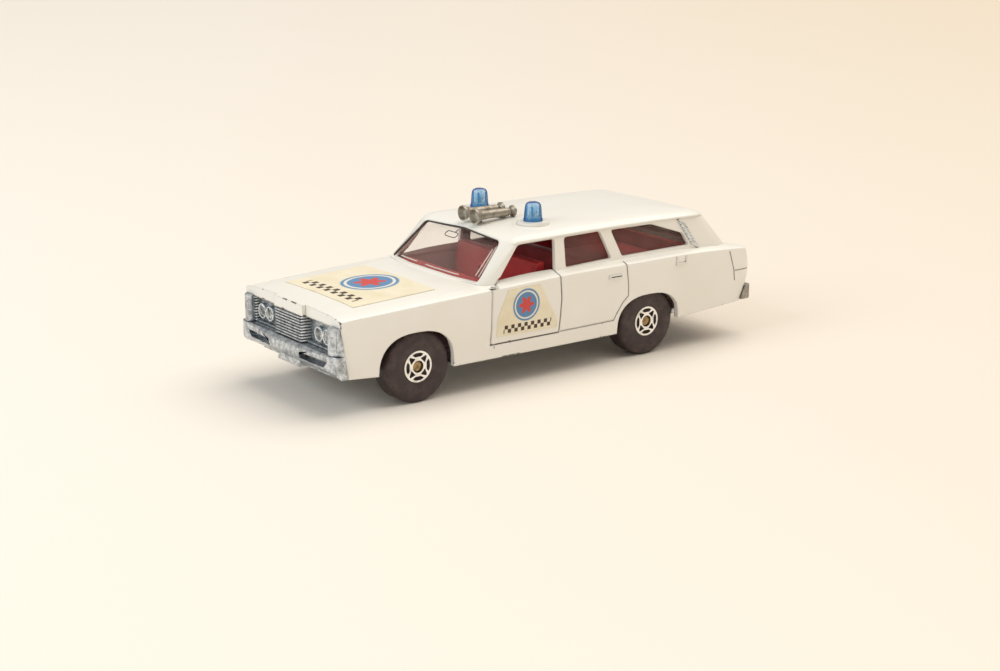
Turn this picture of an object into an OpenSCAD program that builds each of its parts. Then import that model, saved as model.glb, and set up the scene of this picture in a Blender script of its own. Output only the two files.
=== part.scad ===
// Toy police car: a die-cast estate car with opening front doors, sprung axles and free-turning wheels.
// Millimetres. +X points forward, +Y to the car's left, +Z up. The origin lies on the ground under the
// middle of the car's length and width.

/* [Overall] */
// Length over both bumpers
car_length = 112.8; // [110:0.2:116]
// Width over the doors
car_width = 39.8; // [39:0.2:41]
// Distance between the axles
wheelbase = 61; // [60:0.2:62]
// Front bumper face to the front axle
front_overhang = 20.7; // [20.2:0.1:21.2]
// Height of the roof crown above the ground
roof_height = 31.8; // [31.4:0.1:32.4]
// Height of the side crease along the doors
crease_height = 22; // [21.7:0.1:22.3]
// Underside of the sills above the ground
sill_height = 6.5; // [6.3:0.1:6.7]

/* [Body shell] */
// Wall of the flanks, bonnet and tail
body_wall = 1.2; // [1:0.05:1.3]
// Wall of the roof and pillars
roof_wall = 0.9; // [0.7:0.05:1]
// How far the crease drops towards the nose
nose_drop = 2.1; // [1.6:0.1:2.6]
// How far the crease drops towards the tail
tail_drop = 1.2; // [0.6:0.1:1.6]
// Half width lost towards the nose
nose_taper = 1.15; // [0.8:0.05:1.4]
// Half width lost towards the tail
tail_taper = 0.7; // [0.5:0.05:0.9]
// How far the flank tucks in at the sill
sill_tuck = 0.75; // [0.4:0.05:1]
// Rise of the bonnet crown above its edges
bonnet_crown = 0.4; // [0.3:0.05:0.6]
// How far the nose stands behind the front bumper face
nose_setback = 2.2; // [2:0.1:2.6]
// How far the nose leans back towards the bumper
nose_lean = 1.7; // [1.2:0.1:2]
// Underside of the bonnet lip over the grille
lip_height = 18.4; // [18.2:0.1:18.6]
// How far the tail stands ahead of the rear bumper face
tail_setback = 0.8; // [0.6:0.1:1.2]
// Lean of the roof sides from the window sill to the gutter
tumblehome = 0.95; // [0.6:0.05:1.2]
// How far the roof sides stand in from the doors at the window sill
cabin_inset = 2; // [1.8:0.05:2.2]
// Width of the gutter that runs along the roof sides
gutter_reach = 0.35; // [0.2:0.05:0.5]
// Half the length of a wheel arch
arch_half = 8.9; // [8.6:0.05:9.1]
// Top of the front wheel arches
front_arch_top = 15.2; // [14.9:0.1:15.6]
// Top of the rear wheel arches
rear_arch_top = 14.3; // [14:0.1:15.2]
// Radius of the posts that hold the body to the base
post_radius = 1.4; // [1.2:0.1:1.6]
// Radius of the posts' spun heads
post_head_radius = 2.1; // [1.9:0.1:2.4]
// Radius of the round bosses under the beacons
beacon_boss_radius = 3.5; // [3:0.1:3.8]
// Height of the round bosses under the beacons
beacon_boss_height = 0.6; // [0.5:0.05:0.8]

/* [Windows] */
// Height of the window sills
window_sill = 22.75; // [22.6:0.05:22.9]
// Height of the side windows' upper edges
window_top = 29.2; // [28.9:0.05:29.4]
// Width of the pillar behind the front door
centre_pillar = 3; // [2.6:0.1:3.4]
// Length of the rear door window along its sill
rear_window_length = 12.7; // [12:0.1:13.4]
// Width of the slanted pillar behind the rear door
rear_pillar = 3; // [2.6:0.1:3.4]
// Length of the load bay window along its sill
load_window_length = 19.5; // [18.5:0.1:20.5]
// Thickness of the window moulding
glazing_wall = 0.8; // [0.6:0.05:0.9]

/* [Doors] */
// Front axle to the doors' front edges
door_setback = 17.1; // [16.8:0.1:17.4]
// Length of a front door
door_length = 17.7; // [17.2:0.1:18.2]
// Height of the doors' lower edges
door_bottom = 9.7; // [9.4:0.05:10]
// Height of the doors' upper edges over the pivots
door_pivot_top = 21.1; // [20.9:0.05:21.2]
// Gap round a closed door
door_gap = 0.3; // [0.2:0.05:0.4]
// Radius of a door's rounded pivot edge
pivot_edge_radius = 1.15; // [1.05:0.05:1.25]
// Depth of the door pivots behind the flank
pivot_depth = 1.25; // [1.15:0.05:1.35]
// Radius of the door pivot pins
pivot_pin_radius = 0.45; // [0.4:0.01:0.5]
// Thickness of the door skin
door_wall = 1.7; // [1.5:0.05:1.9]

/* [Wheels and axles] */
// Radius of the wheels
wheel_radius = 7.6; // [7.4:0.05:7.8]
// Width of the wheels
wheel_width = 5.6; // [5.2:0.1:6]
// Depth of the wheels' outer faces behind the flanks
wheel_inset = 1.7; // [1.6:0.05:1.9]
// Radius of the hub inserts
hub_radius = 3.3; // [3.1:0.05:3.5]
// Thickness of the hub inserts
hub_wall = 0.8; // [0.6:0.05:0.9]
// Depth of the hub recess in a wheel
hub_recess = 1; // [0.95:0.05:1.2]
// Radius of the axles
axle_radius = 0.9; // [0.8:0.05:1]
// Radius of the axles' peened ends
axle_head_radius = 1.15; // [1.1:0.05:1.25]
// Upward travel of each axle
axle_travel = 1; // [0.6:0.1:1.2]
// Thickness of the axle leaf springs
leaf_thickness = 0.3; // [0.2:0.05:0.4]

/* [Front end and base] */
// Thickness of the base plate
base_wall = 1.2; // [1:0.05:1.4]
// Underside of the base plate above the ground
base_height = 6.7; // [6.6:0.05:6.9]
// Underside of the front bumper
front_bumper_bottom = 7.8; // [7.4:0.1:8]
// Top of the front bumper
front_bumper_top = 12.8; // [12.4:0.1:13]
// Underside of the rear bumper
rear_bumper_bottom = 8.8; // [8.6:0.1:9]
// Top of the rear bumper
rear_bumper_top = 12; // [11.6:0.1:12.4]
// Radius of a headlamp lens
lamp_radius = 1.4; // [1.2:0.05:1.45]
// Distance of the outer lamps from the sides of the nose opening
lamp_margin = 3.65; // [3.5:0.05:3.75]
// Distance between the two lamps of a pair
lamp_spacing = 3.1; // [3:0.05:3.2]
// Height of the lamp centres
lamp_height = 15.5; // [15.3:0.05:15.7]
// Number of bars across the grille's centre
grille_bars = 9; // [7:1:9]

/* [Roof equipment] */
// Distance of each beacon from the flank
beacon_margin = 10.2; // [9.8:0.1:10.8]
// Flange radius of a beacon
beacon_radius = 2.1; // [1.9:0.05:2.3]
// Height of a beacon above its boss
beacon_height = 4.1; // [3.8:0.1:4.4]
// Distance of each horn's axis from the middle
horn_spread = 2.12; // [2:0.02:2.3]
// Radius of a horn's bell
horn_bell_radius = 1.7; // [1.5:0.05:1.8]
// Length of the horns
horn_length = 11.7; // [11:0.1:12.4]

/* [Labels] */
// Length of the bonnet label
bonnet_label_length = 19.6; // [18:0.1:20.5]
// Width of the bonnet label
bonnet_label_width = 26.8; // [24:0.1:28]
// Thickness of the labels
label_thickness = 0.12; // [0.1:0.01:0.15]

/* [Hidden] */
$fn = 48;
fit_gap = 0.05;
seat_gap = 0.1;
clear_gap = 0.3;
outside = 30;
deep = 60;

front_axle_x = car_length / 2 - front_overhang;
rear_axle_x = front_axle_x - wheelbase;
half_width = car_width / 2;
nose_x = car_length / 2 - nose_setback;
tail_x = -car_length / 2 + tail_setback;
door_front_x = front_axle_x - door_setback;
door_rear_x = door_front_x - door_length;
pivot_x = door_front_x - pivot_edge_radius;
pivot_y = half_width - pivot_depth;
axle_z = wheel_radius;
wheel_face_y = half_width - wheel_inset;
wheel_back_y = wheel_face_y - wheel_width;
base_top = base_height + base_wall;
carrier_face_y = wheel_back_y - 2 * clear_gap;
carrier_width = 2.4;
well_y = wheel_back_y - clear_gap;

// Blends from 0 to 1 as t runs from 0 to 1
function ease(t) = let (u = min(1, max(0, t))) u * u * (3 - 2 * u);
function mix(a, b, t) = a + (b - a) * t;
function unit(v) = v / norm(v);

// An outline whose corners are rounded: each corner is cut back by reach and bridged by a curve
function rounded(points, reach, steps = 3) = [
    for (i = [0 : len(points) - 1])
        let (corner = points[i])
        let (before = points[(i + len(points) - 1) % len(points)])
        let (after = points[(i + 1) % len(points)])
        let (start = corner + unit(before - corner) * reach)
        let (stop = corner + unit(after - corner) * reach)
        for (k = [0 : steps])
            let (t = k / steps)
            (1 - t) * (1 - t) * start + 2 * t * (1 - t) * corner + t * t * stop
];

// A closed solid through rings of equal count; rings run anticlockwise seen from the last one
module loft(rings) {
    count = len(rings[0]);
    last = len(rings) - 1;
    sides = [
        for (r = [0 : last - 1], i = [0 : count - 1])
            let (a = r * count + i, b = r * count + (i + 1) % count)
            each [[a, a + count, b + count], [a, b + count, b]]
    ];
    first_cap = [for (i = [0 : count - 1]) i];
    last_cap = [for (i = [count - 1 : -1 : 0]) last * count + i];
    polyhedron([for (ring = rings) each ring], concat(sides, [first_cap, last_cap]), convexity = 8);
}

// Extrudes an outline drawn in X and Z across the car, between two places on Y
module across(y0, y1) {
    translate([0, y1, 0]) rotate([90, 0, 0]) linear_extrude(y1 - y0) children();
}

// Extrudes an outline drawn in Y and Z along the car, between two places on X
module along(x0, x1) {
    translate([x0, 0, 0]) rotate([90, 0, 90]) linear_extrude(x1 - x0) children();
}

module both_sides() {
    children();
    mirror([0, 1, 0]) children();
}

// An outline closed by its own mirror image across the car's middle
function mirrored(half) = concat(half, [for (i = [len(half) - 1 : -1 : 0]) [half[i][0], -half[i][1]]]);

// Squarish arch in side view, open at the bottom; grow adds the rolled lip
arch_shift = 0.8;
arch_springing = 7.4;
arch_power = 0.8;
module arch_outline(x, top, grow) {
    polygon(concat(
        [[x + arch_half + grow, -deep]],
        [for (a = [0 : 10 : 180])
            [x + sign(cos(a)) * (arch_half + grow) * pow(abs(cos(a)), arch_power),
                arch_springing + (top + grow - arch_springing) * pow(sin(a), arch_power)]],
        [[x - arch_half - grow, -deep]]
    ));
}

// Lower body: a loft of cross sections along X, trimmed by the side view

flank_front_x = front_axle_x - 40;
flank_rear_x = rear_axle_x - 4;
cowl_x = door_front_x - 6;
cowl_run = 6;
deck_dip = 0.5;
deck_run = 5;
bonnet_edge_inset = 3.2;
bonnet_edge_rise = 0.45;
cabin_edge_inset = 2.9;
cabin_edge_rise = 0.95;
crease_round = 0.4;
bulge_height = 13;
loft_bottom = 4;
tail_corner = 2.4;
tail_pull = 0.4;
tail_stations = [-1, 0, 0.4, 0.9, 1.6];
body_stations = 20;

function nose_run(x) = max(0, (x - flank_front_x) / (nose_x - flank_front_x));
function tail_run(x) = max(0, (flank_rear_x - x) / (flank_rear_x - tail_x));
function tail_round(x) =
    let (run = min(tail_corner, max(0, tail_x + tail_corner - x)))
    tail_corner - sqrt(max(0, tail_corner * tail_corner - run * run));
function flank_y(x) = half_width - nose_taper * pow(nose_run(x), 2)
    - tail_taper * pow(tail_run(x), 2) - tail_pull * tail_round(x);
function crease_z(x) = crease_height - nose_drop * pow(nose_run(x), 1.3) - tail_drop * pow(tail_run(x), 2);
function cabin_share(x) = 1 - ease((x - cowl_x) / cowl_run);
function edge_inset(x) = mix(bonnet_edge_inset, cabin_edge_inset, cabin_share(x));
function deck_share(x) = ease((tail_x + gate_setback + deck_run / 2 - x) / deck_run);
function edge_rise(x) = mix(bonnet_edge_rise, cabin_edge_rise, cabin_share(x)) * (1 - deck_share(x));
function crown(x) = mix(bonnet_crown, -deck_dip, deck_share(x));
function bonnet_z(x) = crease_z(x) + edge_rise(x);

// Left half of a body section, from the sill up to the middle; inset moves it inwards
function half_section(x, inset) =
    let (w = flank_y(x) - inset, z = crease_z(x) - inset, edge = w - edge_inset(x))
    let (top = z + edge_rise(x))
    [
        [x, w - sill_tuck, loft_bottom],
        [x, w - sill_tuck * 0.2, bulge_height],
        [x, w, z - 2 * crease_round],
        [x, w - 0.2 * crease_round, z - 0.6 * crease_round],
        [x, w - crease_round, z],
        [x, edge, top],
        [x, edge * 0.6, top + crown(x) * 0.64],
        [x, 0, top + crown(x)]
    ];
function body_section(x, inset) =
    let (half = half_section(x, inset), last = len(half) - 1)
    concat(half, [for (i = [last - 1 : -1 : 0]) [half[i][0], -half[i][1], half[i][2]]]);

// The loft over a stretch of the body
module body_stretch(inset, x0, x1, stations) {
    loft([for (i = [0 : stations]) body_section(mix(x0, x1, i / stations), inset)]);
}

// The loft over the whole body, with close stations round the tail corners
module body_loft(inset, stations) {
    places = concat(
        [for (step = tail_stations) tail_x + step],
        [for (i = [0 : stations]) mix(tail_x + tail_corner, nose_x + lip_reach + 0.2, i / stations)]
    );
    loft([for (x = places) body_section(x, inset)]);
}

quarter_bottom = 7.8;
lip_reach = 0.8;
lip_half_width = 5.7;
tail_low = [2.9, 9];
tail_lip = 0.5;
tail_mid = 15.8;
tail_top = [1.9, 20.9];

// X of the leaning nose at a height
function nose_at(z) = nose_x - nose_lean * (lip_height - z) / (lip_height - front_bumper_bottom);

// The lower body in side view; shrink moves the nose and tail in for the hollow
module side_view(shrink) {
    polygon([
        [nose_at(lip_height) - shrink, deep],
        [nose_at(lip_height) - shrink, lip_height],
        [nose_at(front_bumper_bottom) - shrink, front_bumper_bottom - (shrink > 0 ? deep : 0)],
        [front_axle_x + arch_half, shrink > 0 ? -deep : sill_height + 0.7],
        [front_axle_x, shrink > 0 ? -deep : sill_height],
        [rear_axle_x, shrink > 0 ? -deep : sill_height],
        [rear_axle_x - arch_half, shrink > 0 ? -deep : quarter_bottom - 0.3],
        [tail_x + tail_low[0] + shrink, shrink > 0 ? -deep : tail_low[1] - tail_lip],
        [tail_x + tail_low[0] + shrink, tail_low[1]],
        [tail_x + shrink, tail_mid],
        [tail_x + tail_top[0] + shrink, tail_top[1]],
        [tail_x + tail_top[0] + shrink, deep]
    ]);
}

module lower_body() {
    intersection() {
        body_loft(0, body_stations);
        union() {
            across(-outside, outside) side_view(0);
            translate([nose_x - 1, -lip_half_width, lip_height])
                cube([1 + lip_reach, 2 * lip_half_width, deep]);
        }
    }
}

module lower_hollow() {
    intersection() {
        body_loft(body_wall, 12);
        across(-outside, outside) side_view(body_wall);
    }
}

// Cabin: a loft of plan outlines up to the roof

screen_base_x = door_front_x + 1.2;
screen_rake = 8.4;
screen_bow = 2.2;
screen_corner_y = 16.3;
screen_corner_lean = 2.9;
pillar_run = 3.8;
gate_setback = 6.6;
gate_base_x = tail_x + gate_setback;
gate_rake = 7.2;
gate_bow = 0.7;
gate_corner_y = 16.9;
cabin_base = 22;
gutter_height = 30.1;
gutter_depth = 0.45;
gutter_sag = 0.6;
cabin_middle_x = (screen_base_x + gate_base_x) / 2;
cabin_half = (screen_base_x - gate_base_x) / 2;
cabin_foot = 19.5;

// Plan outline of the cabin at height z; roof pulls it in over the roof edge, lip adds the gutter
function cabin_ring(z, roof, inset, lip, lift) =
    let (t = max(0, z - cabin_base) / (gutter_height - cabin_base))
    let (side = half_width - cabin_inset - tumblehome * t - inset - roof)
    let (screen = screen_base_x - screen_rake * t - 1.3 * inset - 1.4 * roof)
    let (bow = screen_bow * (1 - 0.8 * t))
    let (corner = screen_corner_y - screen_corner_lean * t - inset - roof)
    let (pillar = screen - pillar_run * (1 - 0.6 * t))
    let (gate = gate_base_x + gate_rake * t + 1.3 * inset + 1.3 * roof)
    let (gate_corner = gate_corner_y - tumblehome * t - inset - roof)
    let (half = [
        [screen + bow, 0],
        [screen + bow * 0.75, corner * 0.5],
        [screen, corner],
        [mix(screen, pillar, 0.4), mix(corner, side, 0.7)],
        [pillar, side + 0.4 * lip],
        [mix(pillar, gate, 0.35), side + lip],
        [mix(pillar, gate, 0.7), side + lip],
        [gate + 3, side + lip],
        [gate + 0.5, mix(side, gate_corner, 0.6) + 0.5 * lip],
        [gate, gate_corner],
        [gate - gate_bow * 0.75, gate_corner * 0.5],
        [gate - gate_bow, 0]
    ])
    let (last = len(half) - 1)
    let (outline = concat(half, [for (i = [last - 1 : -1 : 1]) [half[i][0], -half[i][1]]]))
    [for (p = outline) [p[0], p[1], z + lift * (1 - pow((p[0] - cabin_middle_x) / cabin_half, 2))]];

roof_rise = roof_height - gutter_height;
// Each step over the roof edge: share of the rise, inset from the gutter
roof_steps = [[0.32, 0.35], [0.56, 1.3], [0.76, 3.4], [0.92, 7], [1, 11]];

function cabin_rings(inset, foot) = concat(
    [cabin_ring(foot, 0, inset, 0, 0), cabin_ring(cabin_base, 0, inset, 0, 0)],
    inset > 0 ? [cabin_ring(gutter_height - gutter_sag - inset, 0, inset, 0, gutter_sag)] : [
        cabin_ring(gutter_height - gutter_sag - gutter_depth, 0, 0, 0, gutter_sag),
        cabin_ring(gutter_height - gutter_sag - 0.8 * gutter_depth, 0, 0, gutter_reach, gutter_sag),
        cabin_ring(gutter_height - gutter_sag, 0, 0, gutter_reach, gutter_sag)
    ],
    [for (step = roof_steps)
        cabin_ring(gutter_height - gutter_sag + roof_rise * step[0] - inset, step[1], inset, 0, gutter_sag)]
);

module cabin_loft(inset, foot) {
    loft(cabin_rings(inset, foot));
}

// Window outlines in side view
front_window_rake = 5.8;
front_window_sill_x = door_front_x - 2.8;
rear_window_x = door_rear_x - centre_pillar - 0.2;
load_window_x = rear_window_x - rear_window_length - rear_pillar;
pillar_lean = 2.9;
corner_round = 0.7;
load_kink = [11.5, 17.9, 26.1];

screen_foot = window_sill - 0.65;
screen_foot_y = screen_corner_y - 0.2;
screen_head_y = screen_corner_y - screen_corner_lean + 0.45;
screen_round = 1.1;

module front_window() {
    polygon(rounded([
        [front_window_sill_x, window_sill - 0.6],
        [front_window_sill_x - front_window_rake, window_top],
        [door_rear_x - 0.6, window_top + 0.1],
        [door_rear_x - door_gap, window_sill - 0.6]
    ], corner_round));
}

module rear_window() {
    polygon(rounded([
        [rear_window_x, window_sill],
        [rear_window_x + 0.1, window_top + 0.1],
        [rear_window_x - rear_window_length + pillar_lean, window_top + 0.2],
        [rear_window_x - rear_window_length, window_sill + 0.4]
    ], corner_round));
}

module load_window() {
    polygon(rounded([
        [load_window_x, window_sill + 0.4],
        [load_window_x + pillar_lean, window_top + 0.1],
        [load_window_x + pillar_lean - load_kink[0], window_top],
        [load_window_x - load_kink[1], load_kink[2]],
        [load_window_x - load_window_length, window_sill + 0.5]
    ], corner_round));
}

module screen_window() {
    polygon(rounded([
        [screen_foot_y, screen_foot],
        [screen_head_y, window_top + 0.5],
        [0, window_top + 1.1],
        [-screen_head_y, window_top + 0.5],
        [-screen_foot_y, screen_foot],
        [0, screen_foot + 0.3]
    ], screen_round));
}

module gate_window() {
    polygon(rounded([
        [gate_corner_y - 2.6, window_sill + 1.9],
        [gate_corner_y - 3.4, window_top - 0.4],
        [-gate_corner_y + 3.4, window_top - 0.4],
        [-gate_corner_y + 2.6, window_sill + 1.9]
    ], corner_round));
}

// Front door outline in side view; grow widens it for the opening in the body
door_bulge = 0.5;
slant_x = front_window_sill_x - 0.8;
notch_x = door_front_x - 2.1;

module door_outline(grow, front_x) {
    polygon([
        [front_x, door_bottom - grow],
        [front_x, door_pivot_top + grow],
        [notch_x + grow, door_pivot_top + grow],
        [slant_x + grow, window_sill + grow],
        [door_rear_x - grow, window_sill + grow],
        [door_rear_x - door_bulge - grow, mix(door_bottom, window_sill, 0.55)],
        [door_rear_x - grow, door_bottom - grow]
    ]);
}

// The seat in the front wing that follows the door's round pivot edge
seat_edge_x = pivot_x + sqrt(pow(pivot_edge_radius + door_gap, 2) - pow(pivot_depth, 2) * 0.8);

module door_opening() {
    across(half_width - cabin_inset - 4, outside) door_outline(door_gap, seat_edge_x);
    translate([pivot_x, pivot_y, door_bottom - door_gap])
        cylinder(r = pivot_edge_radius + door_gap, h = door_pivot_top - door_bottom + 2 * door_gap);
    across(half_width - cabin_inset - 4, outside) front_window();
}

pivot_block = 1.4;
pin_length = 1.2;
upper_pin_length = 0.4;

// The blocks in the body that hold a door's two pivot pins
module pivot_sockets() {
    intersection() {
        body_loft(seat_gap, body_stations);
        union() {
            translate([pivot_x - pivot_block, pivot_y - pivot_block, sill_height + 0.4])
                cube([2 * pivot_block, 4, door_bottom - door_gap - sill_height - 0.4]);
            translate([notch_x + door_gap, pivot_y - pivot_block, door_pivot_top + door_gap])
                cube([seat_edge_x + 0.6 - notch_x - door_gap, 4, 2]);
        }
    }
}

module pivot_bores() {
    translate([pivot_x, pivot_y, door_bottom - pin_length - fit_gap])
        cylinder(r = pivot_pin_radius + fit_gap, h = pin_length + fit_gap);
    translate([pivot_x, pivot_y, door_pivot_top])
        cylinder(r = pivot_pin_radius + fit_gap, h = upper_pin_length + fit_gap);
}

front_post_x = front_axle_x + 11.2;
rear_post_x = gate_base_x - 1;
post_head_height = 0.5;

module wheel_arch(x, top) {
    across(well_y, outside) arch_outline(x + arch_shift, top, 0);
}

// Room for a wheel to rise behind the flank
module wheel_well(x) {
    across(well_y, wheel_face_y + clear_gap) translate([x, axle_z + axle_travel]) {
        circle(r = wheel_radius + clear_gap);
        translate([-wheel_radius - clear_gap, -deep]) square([2 * (wheel_radius + clear_gap), deep]);
    }
}

nose_opening_y = flank_y(nose_x) - 2.2;
beacon_x = door_rear_x - 0.6;
beacon_spread = half_width - beacon_margin;
horn_bracket_x = door_rear_x + 4;
horn_foot_spread = 3;
spigot_radius = 1;
roof_fall = 0.4;
beacon_seat_z = roof_height - roof_fall + beacon_boss_height;

module body_post(x) {
    head_z = end_plate_height - seat_gap - post_head_height;
    skin_z = bonnet_z(x) + crown(x) - body_wall / 2;
    translate([x, 0, head_z]) cylinder(r = post_head_radius, h = post_head_height);
    translate([x, 0, head_z]) cylinder(r = post_radius, h = skin_z - head_z);
}

module roof_bores() {
    both_sides() translate([beacon_x, beacon_spread, 0])
        cylinder(r = spigot_radius + fit_gap, h = deep);
    for (x = [horn_bracket_x - horn_foot_spread, horn_bracket_x + horn_foot_spread])
        translate([x, 0, 0]) cylinder(r = spigot_radius + fit_gap, h = deep);
}

module body_shell() {
    color("ivory") difference() {
        union() {
            difference() {
                union() {
                    lower_body();
                    cabin_loft(0, cabin_foot);
                    both_sides() translate([beacon_x, beacon_spread, gutter_height])
                        cylinder(r = beacon_boss_radius, h = beacon_seat_z - gutter_height);
                }
                lower_hollow();
                cabin_loft(roof_wall, cabin_foot - 2);
                both_sides() door_opening();
                across(-outside, outside) rear_window();
                across(-outside, outside) load_window();
                along(door_front_x - 8, screen_base_x + screen_bow + clear_gap) screen_window();
                along(-outside * 3, gate_base_x + 9) gate_window();
                both_sides() {
                    wheel_arch(front_axle_x, front_arch_top);
                    wheel_arch(rear_axle_x, rear_arch_top);
                    wheel_well(front_axle_x);
                    wheel_well(rear_axle_x);
                }
                along(nose_x - 3 * body_wall, deep + nose_x)
                    translate([-nose_opening_y, -deep]) square([2 * nose_opening_y, deep + lip_height]);
            }
            both_sides() pivot_sockets();
            pillar_ribs();
            handles();
            fuel_flaps();
            body_post(front_post_x);
            body_post(rear_post_x);
        }
        both_sides() pivot_bores();
        translate([0, 0, gutter_height - 3]) roof_bores();
        shut_lines();
    }
}

// Relief on the flanks: the rear doors' shut lines, the tail lines, handles, fuel flaps and pillar ribs

line_width = 0.28;
line_depth = 0.18;
handle_size = [3.6, 0.45, 0.8];
handle_place = [door_rear_x - 15.3, 19.2];
rib_count = 9;
rib_width = 0.42;
rib_stand = 0.25;
flap_ring = [3.2, 1.9];
flap_z = crease_height - 2.3;
flap_wall = 0.45;
flap_x = rear_axle_x - 9.9;

// A strip of even width along a line of points
function strip_side(points, reach) = [
    for (i = [0 : len(points) - 1])
        let (before = points[max(0, i - 1)], after = points[min(len(points) - 1, i + 1)])
        let (way = unit(after - before))
        points[i] + reach * [-way[1], way[0]]
];
function strip(points, width) =
    let (left = strip_side(points, width / 2), right = strip_side(points, -width / 2))
    concat(left, [for (i = [len(right) - 1 : -1 : 0]) right[i]]);

rear_shut_line = [
    [door_rear_x - door_bulge, door_bottom],
    [rear_axle_x + arch_half + 2, door_bottom + 0.1],
    [rear_axle_x + arch_half + 1.3, door_bottom + 1.4],
    [rear_axle_x + arch_half - 0.2, door_bottom + 3.6],
    [rear_axle_x + arch_half - 1.9, door_bottom + 5.1],
    [rear_axle_x + arch_half - 1.8, door_bottom + 7.6],
    [rear_axle_x + arch_half - 1.1, crease_height + 0.3]
];
tail_line = [[tail_x + 7, crease_height - 1.4], [tail_x + 5.4, tail_mid + 0.4], [tail_x + 5, tail_mid - 2.2]];
tail_seam = [[tail_x + 5.4, tail_mid + 0.1], [tail_x - 1, tail_mid + 0.1]];

module shut_lines() {
    both_sides() difference() {
        across(half_width - 3, outside) {
            polygon(strip(rear_shut_line, line_width));
            polygon(strip(tail_line, line_width));
            polygon(strip(tail_seam, line_width));
        }
        body_loft(line_depth, body_stations);
    }
}

// Ribs that lie across the slanted rear pillar
module pillar_ribs() {
    both_sides() intersection() {
        difference() {
            cabin_loft(-rib_stand, cabin_foot);
            cabin_loft(roof_wall / 2, cabin_foot - 1);
        }
        across(0, outside) for (i = [0 : rib_count - 1])
            let (t = (i + 0.5) / rib_count)
            translate([mix(gate_base_x + 9.6, gate_base_x + 13.6, t), mix(window_sill, window_top - 0.3, t)])
                rotate(30) square([3, rib_width], center = true);
    }
}

module handles() {
    both_sides() translate([handle_place[0] - handle_size[0] / 2, flank_y(handle_place[0]) - 0.5, handle_place[1]])
        cube([handle_size[0], 0.5 + handle_size[1], handle_size[2]]);
}

// A shallow U on each flank under the crease
module fuel_flaps() {
    both_sides() intersection() {
        body_loft(-rib_stand, body_stations);
        across(half_width - body_wall / 2, outside) difference() {
            translate([flap_x, flap_z]) square(flap_ring);
            translate([flap_x + flap_wall, flap_z + flap_wall])
                square([flap_ring[0] - 2 * flap_wall, flap_ring[1]]);
        }
    }
}

door_inner_y = half_width - door_wall;

// Depth of a door in front view: a flat inner face that follows the shoulder at the top
module door_depth() {
    polygon([
        [outside, 0],
        [outside, deep],
        [door_inner_y - 1.5, deep],
        [door_inner_y - 1.5, window_sill - 1.2],
        [door_inner_y, window_sill - 2.2],
        [door_inner_y, 0]
    ]);
}

module left_door_panel() {
    intersection() {
        body_stretch(0, door_rear_x - 2, door_front_x + 2, 4);
        union() {
            intersection() {
                across(0, outside) door_outline(0, pivot_x);
                along(door_rear_x - 2, door_front_x + 2) door_depth();
            }
            translate([pivot_x, pivot_y, door_bottom])
                cylinder(r = pivot_edge_radius, h = door_pivot_top - door_bottom);
        }
    }
    translate([pivot_x, pivot_y, door_bottom - pin_length])
        cylinder(r = pivot_pin_radius, h = pin_length + 0.5);
    translate([pivot_x, pivot_y, door_pivot_top - 0.5])
        cylinder(r = pivot_pin_radius, h = upper_pin_length + 0.5);
}

module left_front_door() {
    color("ivory") left_door_panel();
}

module right_front_door() {
    color("ivory") mirror([0, 1, 0]) left_door_panel();
}

// Base plate with both bumpers

base_half_width = pivot_y - pivot_block - seat_gap;
end_plate_height = base_height + 0.9;
base_front_x = nose_at(front_bumper_bottom) - 0.6;
base_rear_x = tail_x + tail_low[0] + body_wall + seat_gap;
base_front_y = nose_opening_y - 2 * seat_gap;
bumper_end_y = flank_y(nose_x) + 0.3;
bumper_wrap = 4.6;
bumper_depth = 2.2;
bumper_corner = 1.2;
bumper_bow = [[0.8, 0], [0.25, 9], [0, 4.5]];
bumper_arch = [5.6, 15, 0.8];
plate_block = [2, 8.6, 2.6];
plate_setback = 1.2;
plate_drop = 0.2;
slot_inner = 5.8;
slot_outer = bumper_end_y - 3.2;
slot_height = 1.3;
slot_rise = 2.3;
rear_web_half = 8;
narrow_y = well_y - clear_gap;
axle_bay = wheel_radius + 2 * clear_gap;
plate_lap = 1.5;

module middle_outline() {
    polygon(mirrored([
        [front_axle_x + axle_bay, narrow_y],
        [front_axle_x - axle_bay, narrow_y],
        [front_axle_x - axle_bay - 0.5, base_half_width],
        [rear_axle_x + axle_bay + 0.5, base_half_width],
        [rear_axle_x + axle_bay, narrow_y],
        [rear_axle_x - axle_bay, narrow_y]
    ]));
}

module front_outline() {
    polygon(mirrored([
        [base_front_x + 1, base_front_y - 3],
        [base_front_x, base_front_y - 3],
        [front_axle_x + axle_bay + 0.6, base_front_y],
        [front_axle_x + axle_bay, narrow_y],
        [front_axle_x + axle_bay - plate_lap, narrow_y]
    ]));
}

module rear_outline() {
    polygon(mirrored([
        [rear_axle_x - axle_bay + plate_lap, narrow_y],
        [rear_axle_x - axle_bay, narrow_y],
        [rear_axle_x - axle_bay - 0.6, base_half_width - tail_taper],
        [base_rear_x, base_half_width - tail_taper - 3]
    ]));
}

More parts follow.
